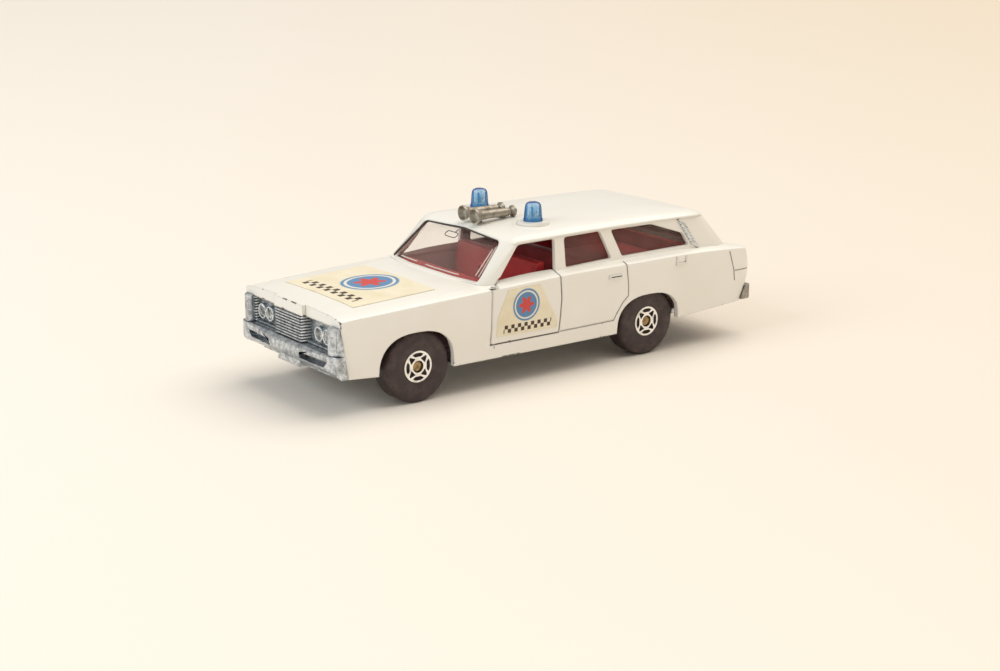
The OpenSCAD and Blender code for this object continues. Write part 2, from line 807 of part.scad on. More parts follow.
// The front bumper: a bowed plan strip that wraps the corners, cut to its raked front section
module front_bumper() {
    face_x = car_length / 2;
    corner_x = face_x - bumper_bow[0][0];
    difference() {
        intersection() {
            translate([0, 0, front_bumper_bottom]) linear_extrude(front_bumper_top - front_bumper_bottom)
                polygon(mirrored(concat(
                    [[face_x - bumper_wrap, bumper_end_y]],
                    [for (a = [90 : -15 : 0])
                        [corner_x - bumper_corner * (1 - cos(a)), bumper_end_y - bumper_corner * (1 - sin(a))]],
                    [[face_x - bumper_bow[1][0], bumper_bow[1][1]], [face_x, bumper_bow[2][1]]]
                )));
            across(-outside, outside) polygon([
                [nose_at(front_bumper_bottom) + seat_gap, front_bumper_bottom],
                [face_x - 2.4, front_bumper_bottom],
                [face_x - 1.3, front_bumper_bottom + 1.1],
                [face_x - 0.3, front_bumper_bottom + 2.2],
                [face_x, front_bumper_bottom + 3.2],
                [face_x - 0.3, front_bumper_top - 0.5],
                [face_x - 0.9, front_bumper_top],
                [nose_at(front_bumper_top) + seat_gap, front_bumper_top]
            ]);
        }
        both_sides() along(face_x - bumper_depth, deep + face_x) polygon([
            [slot_inner, front_bumper_bottom + slot_rise],
            [slot_outer - 1.2, front_bumper_bottom + slot_rise],
            [slot_outer, front_bumper_bottom + slot_rise + slot_height],
            [slot_inner + 0.4, front_bumper_bottom + slot_rise + slot_height]
        ]);
        both_sides() along(nose_x - bumper_wrap, deep + face_x) polygon([
            [bumper_arch[0], front_bumper_bottom - 1],
            [bumper_arch[0], front_bumper_bottom + bumper_arch[2]],
            [bumper_arch[1], front_bumper_bottom + bumper_arch[2]],
            [bumper_end_y + 1, front_bumper_bottom + 0.2],
            [bumper_end_y + 1, front_bumper_bottom - 1]
        ]);
    }
    translate([face_x - plate_setback - plate_block[0], -plate_block[1] / 2, front_bumper_bottom - plate_drop])
        cube(plate_block);
}

module rear_bumper() {
    face_x = -car_length / 2;
    end_y = flank_y(tail_x + tail_corner) + 0.2;
    intersection() {
        translate([0, 0, rear_bumper_bottom]) linear_extrude(rear_bumper_top - rear_bumper_bottom)
            polygon([
                [face_x + bumper_wrap, -end_y],
                [face_x + bumper_wrap, end_y],
                [face_x + 1.2, end_y],
                [face_x + 0.3, end_y - 0.9],
                [face_x, end_y - 3],
                [face_x, 3 - end_y],
                [face_x + 0.3, 0.9 - end_y],
                [face_x + 1.2, -end_y]
            ]);
        across(-outside, outside) polygon([
            [face_x + 1.4, rear_bumper_bottom],
            [face_x, mix(rear_bumper_bottom, rear_bumper_top, 0.55)],
            [face_x + 0.5, rear_bumper_top],
            [tail_x + tail_low[0] * (tail_mid - rear_bumper_top) / (tail_mid - tail_low[1]) - seat_gap,
                rear_bumper_top],
            [tail_x + tail_low[0] - seat_gap, tail_low[1]],
            [tail_x + tail_low[0] - seat_gap, rear_bumper_bottom]
        ]);
    }
}

carrier_top = axle_z + axle_radius + axle_travel + clear_gap;
carrier_floor = axle_z - axle_radius - 1;
carrier_half = axle_radius + 1.3;
carrier_lap = 0.6;
bar_width = 2;
leaf_width = 5;
leaf_reach = 8;
leaf_tail = 2;
leaf_seat = axle_z + axle_radius + fit_gap;
leaf_pin_radius = 0.6;
leaf_pin_stand = 0.35;

// The slotted blocks that carry an axle and the bars that bridge the base under it
module axle_carriers(x) {
    carrier_x = x - carrier_half - carrier_lap;
    carrier_length = 2 * (carrier_half + carrier_lap);
    both_sides() difference() {
        union() {
            translate([carrier_x, carrier_face_y - carrier_width, carrier_floor])
                cube([carrier_length, carrier_width, carrier_top - carrier_floor]);
            translate([carrier_x, carrier_face_y / 2 - bar_width, carrier_floor])
                cube([carrier_length, bar_width, base_height + carrier_lap - carrier_floor]);
        }
        across(0, carrier_face_y + 1) translate([x, axle_z]) {
            circle(r = axle_radius + fit_gap);
            translate([-axle_radius - fit_gap, 0]) square([2 * (axle_radius + fit_gap), deep]);
        }
    }
}

module leaf_seat_block(x) {
    translate([x - 1.5, -leaf_width / 2, base_height])
        cube([3, leaf_width, leaf_seat - base_height]);
    translate([x, 0, base_height])
        cylinder(r = leaf_pin_radius, h = leaf_seat + leaf_thickness + leaf_pin_stand - base_height);
}

front_leaf_x = front_axle_x - leaf_reach;
rear_leaf_x = rear_axle_x + leaf_reach;

// The web that ties the rear bumper to the base, stepped under the tail's lower edge
module rear_bumper_web() {
    tail_face_x = tail_x + tail_low[0] - seat_gap;
    step_z = tail_low[1] - tail_lip - seat_gap;
    across(-rear_web_half, rear_web_half) polygon([
        [base_rear_x + 2, end_plate_height],
        [-car_length / 2 + 2, end_plate_height],
        [-car_length / 2 + 2, tail_low[1]],
        [tail_face_x, tail_low[1]],
        [tail_face_x, step_z],
        [base_rear_x + 2, step_z]
    ]);
}

module front_bumper_web() {
    translate([base_front_x, 3 - base_front_y, end_plate_height])
        cube([nose_at(front_bumper_bottom) + 1 - base_front_x, 2 * base_front_y - 6,
            front_bumper_bottom + 1 - end_plate_height]);
}

module base_plate() {
    color("silver") {
        difference() {
            union() {
                translate([0, 0, base_height]) linear_extrude(base_wall) middle_outline();
                translate([0, 0, end_plate_height]) linear_extrude(base_wall) front_outline();
                translate([0, 0, end_plate_height]) linear_extrude(base_wall) rear_outline();
                front_bumper_web();
                rear_bumper_web();
            }
            for (x = [front_post_x, rear_post_x])
                translate([x, 0, 0]) cylinder(r = post_radius + seat_gap, h = deep);
            for (x = [front_axle_x, rear_axle_x])
                translate([x - carrier_half, -well_y - 1, 0])
                    cube([2 * carrier_half, 2 * well_y + 2, deep]);
        }
        for (x = [front_axle_x, rear_axle_x]) axle_carriers(x);
        for (x = [front_leaf_x, rear_leaf_x]) leaf_seat_block(x);
        front_bumper();
        rear_bumper();
    }
}

// Grille insert between the front wings

panel_wall = 0.8;
ledge_depth = 1.7;
ledge_wall = 0.4;
panel_x = nose_x - 2;
panel_face_x = panel_x + panel_wall;
grille_bottom = front_bumper_top + seat_gap;
grille_top = lip_height - seat_gap;
grille_half = nose_opening_y - seat_gap;
centre_back_half = 5.4;
centre_front_half = 5;
centre_face_x = nose_x + 1;
bar_depth = 0.35;
bar_share = 0.55;
cap_inner = grille_half - 0.85;
cap_outer = flank_y(nose_x) + 0.2;
cap_reach = 1.6;
cap_pocket = [0.9, 4, 0.15];
bezel_wall = 0.2;
bezel_depth = 0.8;
lens_dome = 0.35;

module centre_plan(cut) {
    polygon([
        [panel_face_x - 0.1, centre_back_half - cut],
        [centre_face_x - cut, centre_front_half - cut],
        [centre_face_x - cut, cut - centre_front_half],
        [panel_face_x - 0.1, cut - centre_back_half]
    ]);
}

// Horizontal bars over a plain core
module grille_centre() {
    pitch = (grille_top - grille_bottom) / grille_bars;
    translate([0, 0, grille_bottom]) linear_extrude(grille_top - grille_bottom) centre_plan(bar_depth);
    for (i = [0 : grille_bars - 1])
        translate([0, 0, grille_bottom + pitch * (i + 0.5 - bar_share / 2)])
            linear_extrude(pitch * bar_share) centre_plan(0);
}

module lamp_places() {
    outer_y = nose_opening_y - lamp_margin;
    both_sides() for (y = [outer_y, outer_y - lamp_spacing])
        translate([panel_face_x, y, lamp_height]) rotate([0, 90, 0]) children();
}

// Wing end cap: a plan outline with a round outer corner, cut to the nose's lean
module end_cap() {
    difference() {
        intersection() {
            translate([0, 0, grille_bottom]) linear_extrude(grille_top + 0.2 - grille_bottom)
                polygon(rounded([
                    [panel_x, cap_inner],
                    [nose_x + cap_reach - 1, cap_inner],
                    [nose_x + cap_reach - 0.2, cap_inner + 0.4],
                    [nose_x + cap_reach - 0.2, cap_outer - 1.9],
                    [nose_x + cap_reach - 0.8, cap_outer - 1],
                    [nose_x + cap_reach - 1.8, cap_outer],
                    [panel_x, cap_outer]
                ], 0.2, 2));
            across(0, outside) polygon([
                [nose_at(grille_bottom) + seat_gap, grille_bottom],
                [nose_x + cap_reach, grille_bottom],
                [nose_x + cap_reach, grille_top + 1],
                [nose_x + seat_gap, grille_top + 1],
                [nose_x + seat_gap, lip_height]
            ]);
        }
        translate([nose_x + cap_reach - 1.3, cap_outer - 0.5, grille_bottom + 0.8]) rotate(-45)
            translate([-cap_pocket[0] / 2, -cap_pocket[2], 0]) cube([cap_pocket[0], 1, cap_pocket[1]]);
    }
    translate([panel_x, cap_inner, grille_bottom])
        cube([nose_x + 0.6 - panel_x, grille_half - cap_inner, grille_top - grille_bottom]);
}

module cap_ribs() {
    pitch = (grille_top - grille_bottom) / grille_bars;
    for (i = [0 : grille_bars - 1])
        translate([panel_x, cap_inner - 0.3, grille_bottom + pitch * (i + 0.5 - bar_share / 2)])
            cube([nose_x - panel_x, 0.5, pitch * bar_share]);
}

module front_grille() {
    color("gainsboro") difference() {
        union() {
            translate([panel_x, -grille_half, grille_bottom])
                cube([panel_wall, 2 * grille_half, grille_top - grille_bottom]);
            translate([panel_x, -grille_half, grille_bottom]) cube([ledge_depth, 2 * grille_half, ledge_wall]);
            translate([panel_x, -grille_half, grille_top - ledge_wall])
                cube([ledge_depth - 0.3, 2 * grille_half, ledge_wall]);
            grille_centre();
            both_sides() end_cap();
            both_sides() cap_ribs();
            lamp_places() cylinder(r = lamp_radius + bezel_wall, h = bezel_depth);
        }
        lamp_places() translate([0, 0, 0.1]) cylinder(r = lamp_radius + fit_gap, h = deep);
    }
}

module headlamp_lenses() {
    color("white") lamp_places() translate([0, 0, 0.1]) rotate_extrude() polygon([
        [0, 0],
        [lamp_radius, 0],
        [lamp_radius, bezel_depth - 0.2],
        [lamp_radius * 0.75, bezel_depth - 0.2 + lens_dome * 0.6],
        [lamp_radius * 0.4, bezel_depth - 0.2 + lens_dome * 0.9],
        [0, bezel_depth - 0.2 + lens_dome]
    ]);
}

// Window moulding inside the cabin

glazing_inset = roof_wall + fit_gap;
glazing_foot = window_sill - 1.4;

// The open front windows, wider than the body's so that no edge shows
module open_side() {
    polygon([
        [front_window_sill_x + 1.6, glazing_foot - 2],
        [front_window_sill_x + 1.2, window_sill],
        [front_window_sill_x - front_window_rake + 0.5, window_top + 0.5],
        [door_rear_x - 1.1, window_top + 0.6],
        [door_rear_x - 1.1, glazing_foot - 2]
    ]);
}

module window_glazing() {
    color("lightgray", 0.4) difference() {
        cabin_loft(glazing_inset, glazing_foot);
        cabin_loft(glazing_inset + glazing_wall, glazing_foot - 1);
        both_sides() across(half_width - cabin_inset - 5, outside) open_side();
        translate([0, 0, gutter_height - 3]) roof_bores();
    }
}

// Interior moulding

tub_half = half_width - 3.5;
tub_wall = 0.8;
tub_front_x = door_front_x - 0.4;
tub_rim = glazing_foot - 0.4;
load_floor = axle_z + wheel_radius + axle_travel + 2 * clear_gap;
load_rear_x = gate_base_x + 4;
step_low_x = rear_axle_x + leaf_reach + 3.5;
step_high_x = rear_axle_x + leaf_reach + 0.8;
wheel_centre = [tub_front_x - 7.4, 7.6, tub_rim + 0.4];
wheel_tilt = -62;
steering_radius = 2.6;
steering_rim = 0.32;
column_radius = 0.45;
column_length = 4.4;
seat_half = tub_half - tub_wall - 1.2;
bench_front_x = door_rear_x + 8;
bench_back_x = door_rear_x + 1.4;
bench_top = window_sill + 1;
rear_bench_x = bench_back_x - 8;
strip_stud_radius = 0.6;
strip_z = 15;
doorway_margin = 1.4;

module tub_side_view(inset) {
    polygon([
        [tub_front_x - inset, base_top + inset],
        [tub_front_x - inset, tub_rim + 4 * inset],
        [load_rear_x + inset, tub_rim + 4 * inset],
        [load_rear_x + inset, load_floor + inset],
        [step_high_x - inset * 0.3, load_floor + inset],
        [step_low_x - inset * 0.3, base_top + inset]
    ]);
}

// The tub's side walls are low where the doors open
module doorway_outline() {
    polygon([
        [tub_front_x - doorway_margin, deep],
        [tub_front_x - doorway_margin, door_bottom + 1],
        [door_rear_x + doorway_margin, door_bottom + 1],
        [door_rear_x + doorway_margin, deep]
    ]);
}

module front_bench() {
    polygon(rounded([
        [bench_front_x, base_top + 0.4],
        [bench_front_x + 0.3, base_top + 5.4],
        [bench_back_x + 1.2, base_top + 4.6],
        [bench_back_x + 0.6, bench_top],
        [bench_back_x - 1.4, bench_top + 0.3],
        [bench_back_x - 1.8, base_top + 0.4]
    ], 0.35, 2));
}

module rear_bench() {
    polygon(rounded([
        [rear_bench_x + 2.4, base_top + 0.4],
        [rear_bench_x + 2.7, base_top + 5.6],
        [rear_bench_x - 3.4, base_top + 5],
        [rear_bench_x - 5, bench_top - 1.4],
        [rear_bench_x - 7, bench_top - 1.2],
        [rear_bench_x - 6.6, base_top + 0.4]
    ], 0.35, 2));
}

module dashboard() {
    polygon(rounded([
        [tub_front_x - 0.4, base_top + 7],
        [tub_front_x - 0.4, tub_rim + 0.2],
        [tub_front_x - 2.6, tub_rim + 0.7],
        [tub_front_x - 4.8, tub_rim - 0.4],
        [tub_front_x - 5, tub_rim - 2.4],
        [tub_front_x - 3.2, tub_rim - 3.6]
    ], 0.3, 2));
}

module steering_place() {
    translate(wheel_centre) rotate([0, wheel_tilt, 0]) children();
}

module interior_tub() {
    color("firebrick") difference() {
        union() {
            difference() {
                across(-tub_half, tub_half) tub_side_view(0);
                across(tub_wall - tub_half, tub_half - tub_wall) tub_side_view(tub_wall);
            }
            across(-seat_half, -0.5) front_bench();
            across(0.5, seat_half) front_bench();
            across(-seat_half, seat_half) rear_bench();
            across(tub_wall / 2 - tub_half, tub_half - tub_wall / 2) dashboard();
            translate([tub_front_x - 0.2, 0, strip_z]) rotate([0, 90, 0])
                cylinder(r = strip_stud_radius, h = 1);
        }
        steering_place() translate([0, 0, -column_length - fit_gap])
            cylinder(r = column_radius + fit_gap, h = column_length);
        both_sides() across(tub_half - tub_wall - 0.1, tub_half + 1) doorway_outline();
    }
}

module steering_wheel() {
    color("firebrick") steering_place() {
        rotate_extrude() translate([steering_radius, 0]) circle(r = steering_rim, $fn = 20);
        cylinder(r = 0.7, h = 0.5, center = true);
        translate([0, 0, -column_length]) cylinder(r = column_radius, h = column_length);
        for (turn = [0, 120, 240])
            rotate([0, 0, turn + 30]) translate([0, -0.3, -0.18]) cube([steering_radius, 0.6, 0.36]);
    }
}

// Flat strip across the car whose bent ends bear on both door pivots
strip_wall = 0.3;
strip_height = 3;
strip_end_y = pivot_y - pivot_edge_radius - seat_gap;

module door_spring() {
    front = tub_front_x + fit_gap + strip_wall;
    color("darkgray") difference() {
        translate([0, 0, strip_z - strip_height / 2]) linear_extrude(strip_height) polygon(mirrored([
            [front, strip_end_y],
            [pivot_x - 1, strip_end_y],
            [pivot_x - 1, strip_end_y - strip_wall],
            [front - strip_wall, strip_end_y - strip_wall]
        ]));
        translate([0, 0, strip_z]) rotate([0, 90, 0]) cylinder(r = strip_stud_radius + fit_gap, h = deep);
    }
}

// Roof equipment

spigot_length = 1.6;

module beacon(side) {
    color("royalblue", 0.7) translate([beacon_x, side * beacon_spread, beacon_seat_z]) rotate_extrude() polygon([
        [0, -spigot_length],
        [spigot_radius, -spigot_length],
        [spigot_radius, 0],
        [beacon_radius, 0],
        [beacon_radius, beacon_height * 0.1],
        [beacon_radius * 0.94, beacon_height * 0.14],
        [beacon_radius * 0.86, beacon_height * 0.68],
        [beacon_radius * 0.8, beacon_height * 0.84],
        [beacon_radius * 0.66, beacon_height * 0.94],
        [beacon_radius * 0.42, beacon_height * 0.99],
        [0, beacon_height]
    ]);
}

module left_beacon() {
    beacon(1);
}

module right_beacon() {
    beacon(-1);
}

horn_axis_z = roof_height + 1.05;
horn_front_x = door_rear_x + 9.55;
horn_tube_radius = horn_bell_radius * 0.56;

// One horn lying along X, open at the bell
module horn() {
    translate([horn_front_x, 0, 0]) rotate([0, -90, 0]) rotate_extrude() polygon([
        [0, horn_length * 0.2],
        [horn_bell_radius * 0.45, horn_length * 0.12],
        [horn_bell_radius * 0.86, 0],
        [horn_bell_radius * 0.95, 0],
        [horn_bell_radius, horn_length * 0.02],
        [horn_bell_radius * 0.96, horn_length * 0.05],
        [horn_bell_radius * 0.72, horn_length * 0.12],
        [horn_tube_radius, horn_length * 0.24],
        [horn_tube_radius * 0.9, horn_length * 0.78],
        [horn_tube_radius * 0.66, horn_length * 0.84],
        [horn_tube_radius * 1.3, horn_length * 0.87],
        [horn_tube_radius * 1.3, horn_length * 0.91],
        [0, horn_length]
    ]);
}

module air_horns() {
    bracket_top = horn_axis_z - horn_tube_radius * 0.4;
    color("darkgray") {
        both_sides() translate([0, horn_spread, horn_axis_z]) horn();
        for (x = [horn_bracket_x - horn_foot_spread, horn_bracket_x + horn_foot_spread]) {
            translate([x - 0.9, -horn_spread, roof_height + 0.02])
                cube([1.8, 2 * horn_spread, bracket_top - roof_height]);
            translate([x, 0, roof_height - spigot_length])
                cylinder(r = spigot_radius, h = spigot_length + 0.5);
        }
    }
}

// Wheels and axles

bore_radius = axle_radius + fit_gap;
collar_radius = 2.2;
tread_round = 1.1;

module wheel_place(x, side) {
    translate([x, 0, axle_z]) mirror([0, side < 0 ? 1 : 0, 0]) rotate([-90, 0, 0]) children();
}

module wheel(x, side) {
    recess_z = wheel_face_y - hub_recess;
    color("#2b2523") wheel_place(x, side) rotate_extrude() polygon(concat(
        [
            [bore_radius, wheel_back_y - clear_gap],
            [collar_radius, wheel_back_y - clear_gap],
            [collar_radius, wheel_back_y + 0.8],
            [wheel_radius - 2.4, wheel_back_y + 0.8],
            [wheel_radius - 1.9, wheel_back_y]
        ],
        [for (a = [-90 : 30 : 0])
            [wheel_radius - tread_round * (1 - cos(a)), wheel_back_y + tread_round * (1 + sin(a))]],
        [for (a = [0 : 30 : 90])
            [wheel_radius - tread_round * (1 - cos(a)), wheel_face_y - tread_round * (1 - sin(a))]],
        [
            [hub_radius + 0.9, wheel_face_y],
            [hub_radius + 0.5, wheel_face_y - 0.2],
            [hub_radius + fit_gap, wheel_face_y - 0.2],
            [hub_radius + fit_gap, recess_z],
            [bore_radius, recess_z]
        ]
    ));
}

hub_eye_radius = axle_head_radius + 0.12;
hub_openings = 4;

// Pressed insert: a ring and a hub joined by forked spokes
module hub_insert(x, side) {
    bean = [[0.62, 0.22], [0.76, 0.41], [0.87, 0.18]] * hub_radius;
    fork = [[0.49, 0.23], [0.87, 0.05]] * hub_radius;
    rounding = hub_radius * 0.05;
    color("lightgray") wheel_place(x, side) translate([0, 0, wheel_face_y - hub_recess])
        linear_extrude(hub_wall) difference() {
            circle(r = hub_radius);
            circle(r = hub_eye_radius);
            for (turn = [0 : 360 / hub_openings : 359]) {
                rotate(turn) polygon(rounded(mirrored(bean), rounding, 2));
                rotate(turn + 45) polygon(rounded(mirrored(fork), rounding, 2));
            }
        }
}

module front_left_wheel() {
    wheel(front_axle_x, 1);
}

module front_right_wheel() {
    wheel(front_axle_x, -1);
}

module rear_left_wheel() {
    wheel(rear_axle_x, 1);
}

module rear_right_wheel() {
    wheel(rear_axle_x, -1);
}

module front_left_hub() {
    hub_insert(front_axle_x, 1);
}

module front_right_hub() {
    hub_insert(front_axle_x, -1);
}

module rear_left_hub() {
    hub_insert(rear_axle_x, 1);
}

module rear_right_hub() {
    hub_insert(rear_axle_x, -1);
}

head_height = 0.5;

module axle(x) {
    head_y = wheel_face_y - hub_recess + fit_gap;
    color("peru") translate([x, 0, axle_z]) rotate([-90, 0, 0]) {
        translate([0, 0, -head_y]) cylinder(r = axle_radius, h = 2 * head_y);
        both_ends() translate([0, 0, head_y]) rotate_extrude() polygon([
            [0, -0.1],
            [axle_radius, -0.1],
            [axle_radius, 0],
            [axle_head_radius, 0],
            [axle_head_radius * 0.85, head_height * 0.7],
            [0, head_height]
        ]);
    }
}

module both_ends() {
    children();
    mirror([0, 0, 1]) children();
}

module front_axle() {
    axle(front_axle_x);
}

module rear_axle() {
    axle(rear_axle_x);
}

// Flat leaf held by a stud on the base, lying over its axle
module leaf(x, towards) {
    color("dimgray") difference() {
        translate([x - (towards > 0 ? leaf_tail : leaf_reach), -leaf_width / 2, leaf_seat])
            cube([leaf_tail + leaf_reach, leaf_width, leaf_thickness]);
        translate([x, 0, 0]) cylinder(r = leaf_pin_radius + fit_gap, h = deep);
    }
}

module front_axle_spring() {
    leaf(front_leaf_x, 1);
}

module rear_axle_spring() {
    leaf(rear_leaf_x, -1);
}

// Paper labels that lie on the painted skin

label_front_x = nose_x - 6.3;

module bonnet_label() {
    color("wheat") difference() {
        intersection() {
            body_loft(-label_thickness, body_stations);
            translate([label_front_x - bonnet_label_length, -bonnet_label_width / 2, crease_height - 5])
                cube([bonnet_label_length, bonnet_label_width, 10]);
        }
        body_loft(0, body_stations);
    }
}

module door_label_outline() {
    polygon([
        [door_front_x - 1.4, door_bottom + 1.4],
        [door_front_x - 1.6, door_bottom + 5.2],
        [door_front_x - 4.3, crease_height - 1.2],
        [door_front_x - 12.5, crease_height - 1.2],
        [door_rear_x + 0.7, door_bottom + 2.8],
        [door_rear_x + 0.5, door_bottom + 1.2]
    ]);
}

module door_label(side) {
    color("wheat") mirror([0, side < 0 ? 1 : 0, 0]) difference() {
        intersection() {
            body_stretch(-label_thickness, door_rear_x - 2, door_front_x + 2, 4);
            across(half_width - 4, outside) door_label_outline();
        }
        body_stretch(0, door_rear_x - 2, door_front_x + 2, 4);
    }
}

module left_door_label() {
    door_label(1);
}

module right_door_label() {
    door_label(-1);
}

body_shell();
left_front_door();
right_front_door();
base_plate();
front_grille();
headlamp_lenses();
window_glazing();
interior_tub();
steering_wheel();
door_spring();
left_beacon();
right_beacon();
air_horns();
front_axle();
rear_axle();
front_axle_spring();
rear_axle_spring();
front_left_wheel();
front_right_wheel();
rear_left_wheel();
rear_right_wheel();
front_left_hub();
front_right_hub();
rear_left_hub();
rear_right_hub();
bonnet_label();
left_door_label();
right_door_label();
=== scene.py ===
"""Toy police car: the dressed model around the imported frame."""

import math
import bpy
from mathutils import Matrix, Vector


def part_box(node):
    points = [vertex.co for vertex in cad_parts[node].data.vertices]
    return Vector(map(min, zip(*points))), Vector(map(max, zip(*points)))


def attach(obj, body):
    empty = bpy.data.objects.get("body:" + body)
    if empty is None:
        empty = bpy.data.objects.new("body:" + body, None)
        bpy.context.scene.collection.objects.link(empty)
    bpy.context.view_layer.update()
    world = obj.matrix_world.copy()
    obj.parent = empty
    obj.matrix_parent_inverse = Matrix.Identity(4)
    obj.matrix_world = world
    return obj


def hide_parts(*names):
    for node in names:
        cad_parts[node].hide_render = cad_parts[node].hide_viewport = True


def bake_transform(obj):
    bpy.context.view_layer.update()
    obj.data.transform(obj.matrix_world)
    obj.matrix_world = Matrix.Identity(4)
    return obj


bl_info = {
    "name": "Toy police car",
    "version": (1, 0, 0),
    "blender": (4, 5, 0),
    "location": "View3D > Sidebar > Toy car",
    "description": "Builds the finishes and fine forms of a die-cast toy police car",
    "category": "Object",
}

import bmesh
import bpy
from mathutils import Matrix, Vector

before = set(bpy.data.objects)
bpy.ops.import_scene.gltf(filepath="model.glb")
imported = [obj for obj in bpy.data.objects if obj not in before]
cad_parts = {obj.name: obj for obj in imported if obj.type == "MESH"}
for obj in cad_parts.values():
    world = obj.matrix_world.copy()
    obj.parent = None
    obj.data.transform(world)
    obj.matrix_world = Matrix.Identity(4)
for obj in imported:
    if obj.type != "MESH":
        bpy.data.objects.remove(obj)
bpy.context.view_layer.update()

MM = 0.001
CAMERA_PLACE = (0.2238, 0.2982, 0.1065)
CAMERA_YAW = math.radians(36.67)
CAMERA_PITCH = math.radians(15.32)
CAMERA_ROLL = math.radians(0.15)
CAMERA_LENS = 62.75

SIDES = (("left", 1), ("right", -1))
SMOOTH_ANGLE = math.radians(35)
BEVEL_ANGLE = math.radians(40)
MERGE_REACH = 0.0005 * MM
FLAT_ANGLE = math.radians(0.4)


# Shader maths

class Value:
    """A socket whose arithmetic adds Math nodes to its tree."""

    def __init__(self, net, socket):
        self.net = net
        self.socket = socket

    def maths(self, operation, *others):
        sockets = {0: self}
        for index, other in enumerate(others):
            sockets[index + 1] = other
        return self.net.add("ShaderNodeMath", {"operation": operation}, sockets)

    def flipped(self, operation, first):
        return self.net.add("ShaderNodeMath", {"operation": operation}, {0: first, 1: self})

    def __add__(self, other):
        return self.maths("ADD", other)

    __radd__ = __add__

    def __mul__(self, other):
        return self.maths("MULTIPLY", other)

    __rmul__ = __mul__

    def __sub__(self, other):
        return self.maths("SUBTRACT", other)

    def __rsub__(self, other):
        return self.flipped("SUBTRACT", other)

    def __truediv__(self, other):
        return self.maths("DIVIDE", other)

    def __rtruediv__(self, other):
        return self.flipped("DIVIDE", other)

    def __pow__(self, other):
        return self.maths("POWER", other)

    def below(self, limit):
        return self.maths("LESS_THAN", limit)

    def above(self, limit):
        return self.maths("GREATER_THAN", limit)

    def size(self):
        return self.maths("ABSOLUTE")

    def steps(self, low, high):
        """0 below low, 1 above high, smooth between."""
        return self.net.add("ShaderNodeMapRange", {"interpolation_type": "SMOOTHSTEP"},
                            {"Value": self, "From Min": low, "From Max": high})


class Net:
    """A material under construction."""

    def __init__(self, name):
        self.material = bpy.data.materials.new(name)
        self.material.use_nodes = True
        self.tree = self.material.node_tree
        self.tree.nodes.clear()
        self.output = self.tree.nodes.new("ShaderNodeOutputMaterial")

    def add(self, kind, settings=None, sockets=None, out=0):
        """Adds a node, sets its settings, then the values or links of its sockets; returns one output."""
        node = self.tree.nodes.new(kind)
        for key, setting in (settings or {}).items():
            if key == "stops":
                self.set_stops(node, setting)
            else:
                setattr(node, key, setting)
        for key, given in (sockets or {}).items():
            socket = self.socket(node, key)
            if isinstance(given, Value):
                self.tree.links.new(given.socket, socket)
            else:
                socket.default_value = given
        return Value(self, node.outputs[out])

    @staticmethod
    def socket(node, key):
        if isinstance(key, int):
            return node.inputs[key]
        return next(s for s in node.inputs if s.name == key and s.enabled)

    @staticmethod
    def set_stops(node, stops):
        elements = node.color_ramp.elements
        while len(elements) < len(stops):
            elements.new(0.5)
        for element, (place, colour) in zip(elements, stops):
            element.position = place
            element.color = (*colour, 1)

    def coords(self):
        return self.add("ShaderNodeTexCoord", out="Object")

    def axes(self):
        """X, Y and Z of the object coordinates in millimetres."""
        scaled = self.add("ShaderNodeVectorMath", {"operation": "SCALE"},
                          {0: self.coords(), "Scale": 1 / MM})
        split = self.add("ShaderNodeSeparateXYZ", None, {0: scaled})
        node = split.socket.node
        return [Value(self, node.outputs[i]) for i in range(3)]

    def noise(self, size_mm, detail=3.0, rough=0.55, seed=0.0):
        """Noise whose features are about size_mm across."""
        return self.add("ShaderNodeTexNoise", {"noise_dimensions": "4D"},
                        {"Vector": self.coords(), "W": seed, "Scale": 1 / (size_mm * MM),
                         "Detail": detail, "Roughness": rough})

    def blend(self, amount, low, high):
        """A colour between low and high."""
        return self.add("ShaderNodeMix", {"data_type": "RGBA"},
                        {0: amount, 6: self.colour(low), 7: self.colour(high)}, out=2)

    @staticmethod
    def colour(given):
        return given if isinstance(given, Value) else (*given, 1.0)

    def bump(self, height, depth_mm, strength=1.0, rounding_mm=0.0):
        """A bumped normal, over edges that look rounded where rounding_mm is given."""
        sockets = {"Height": height, "Distance": depth_mm * MM, "Strength": strength}
        if rounding_mm:
            sockets["Normal"] = self.add("ShaderNodeBevel", {"samples": 6}, {"Radius": rounding_mm * MM})
        return self.add("ShaderNodeBump", None, sockets)

    def open_sky(self, reach_mm, inside=False):
        """How open a place is within reach_mm, outside the piece or inside it."""
        settings = {"samples": 8, "inside": inside, "only_local": inside}
        return self.add("ShaderNodeAmbientOcclusion", settings, {"Distance": reach_mm * MM}, out="AO")

    def principled(self, **sockets):
        named = {key.replace("_", " "): given for key, given in sockets.items()}
        shader = self.add("ShaderNodeBsdfPrincipled", None, named)
        self.tree.links.new(shader.socket, self.output.inputs["Surface"])
        return self.material


# Finishes

HANDLE_GROOVE_X = -14.4
HANDLE_GROOVE_Z = 19.65
HANDLE_GROOVE_HALF = 1.5
FLUTES_PER_MM = 14.0
STAR_POINTS = 6.0


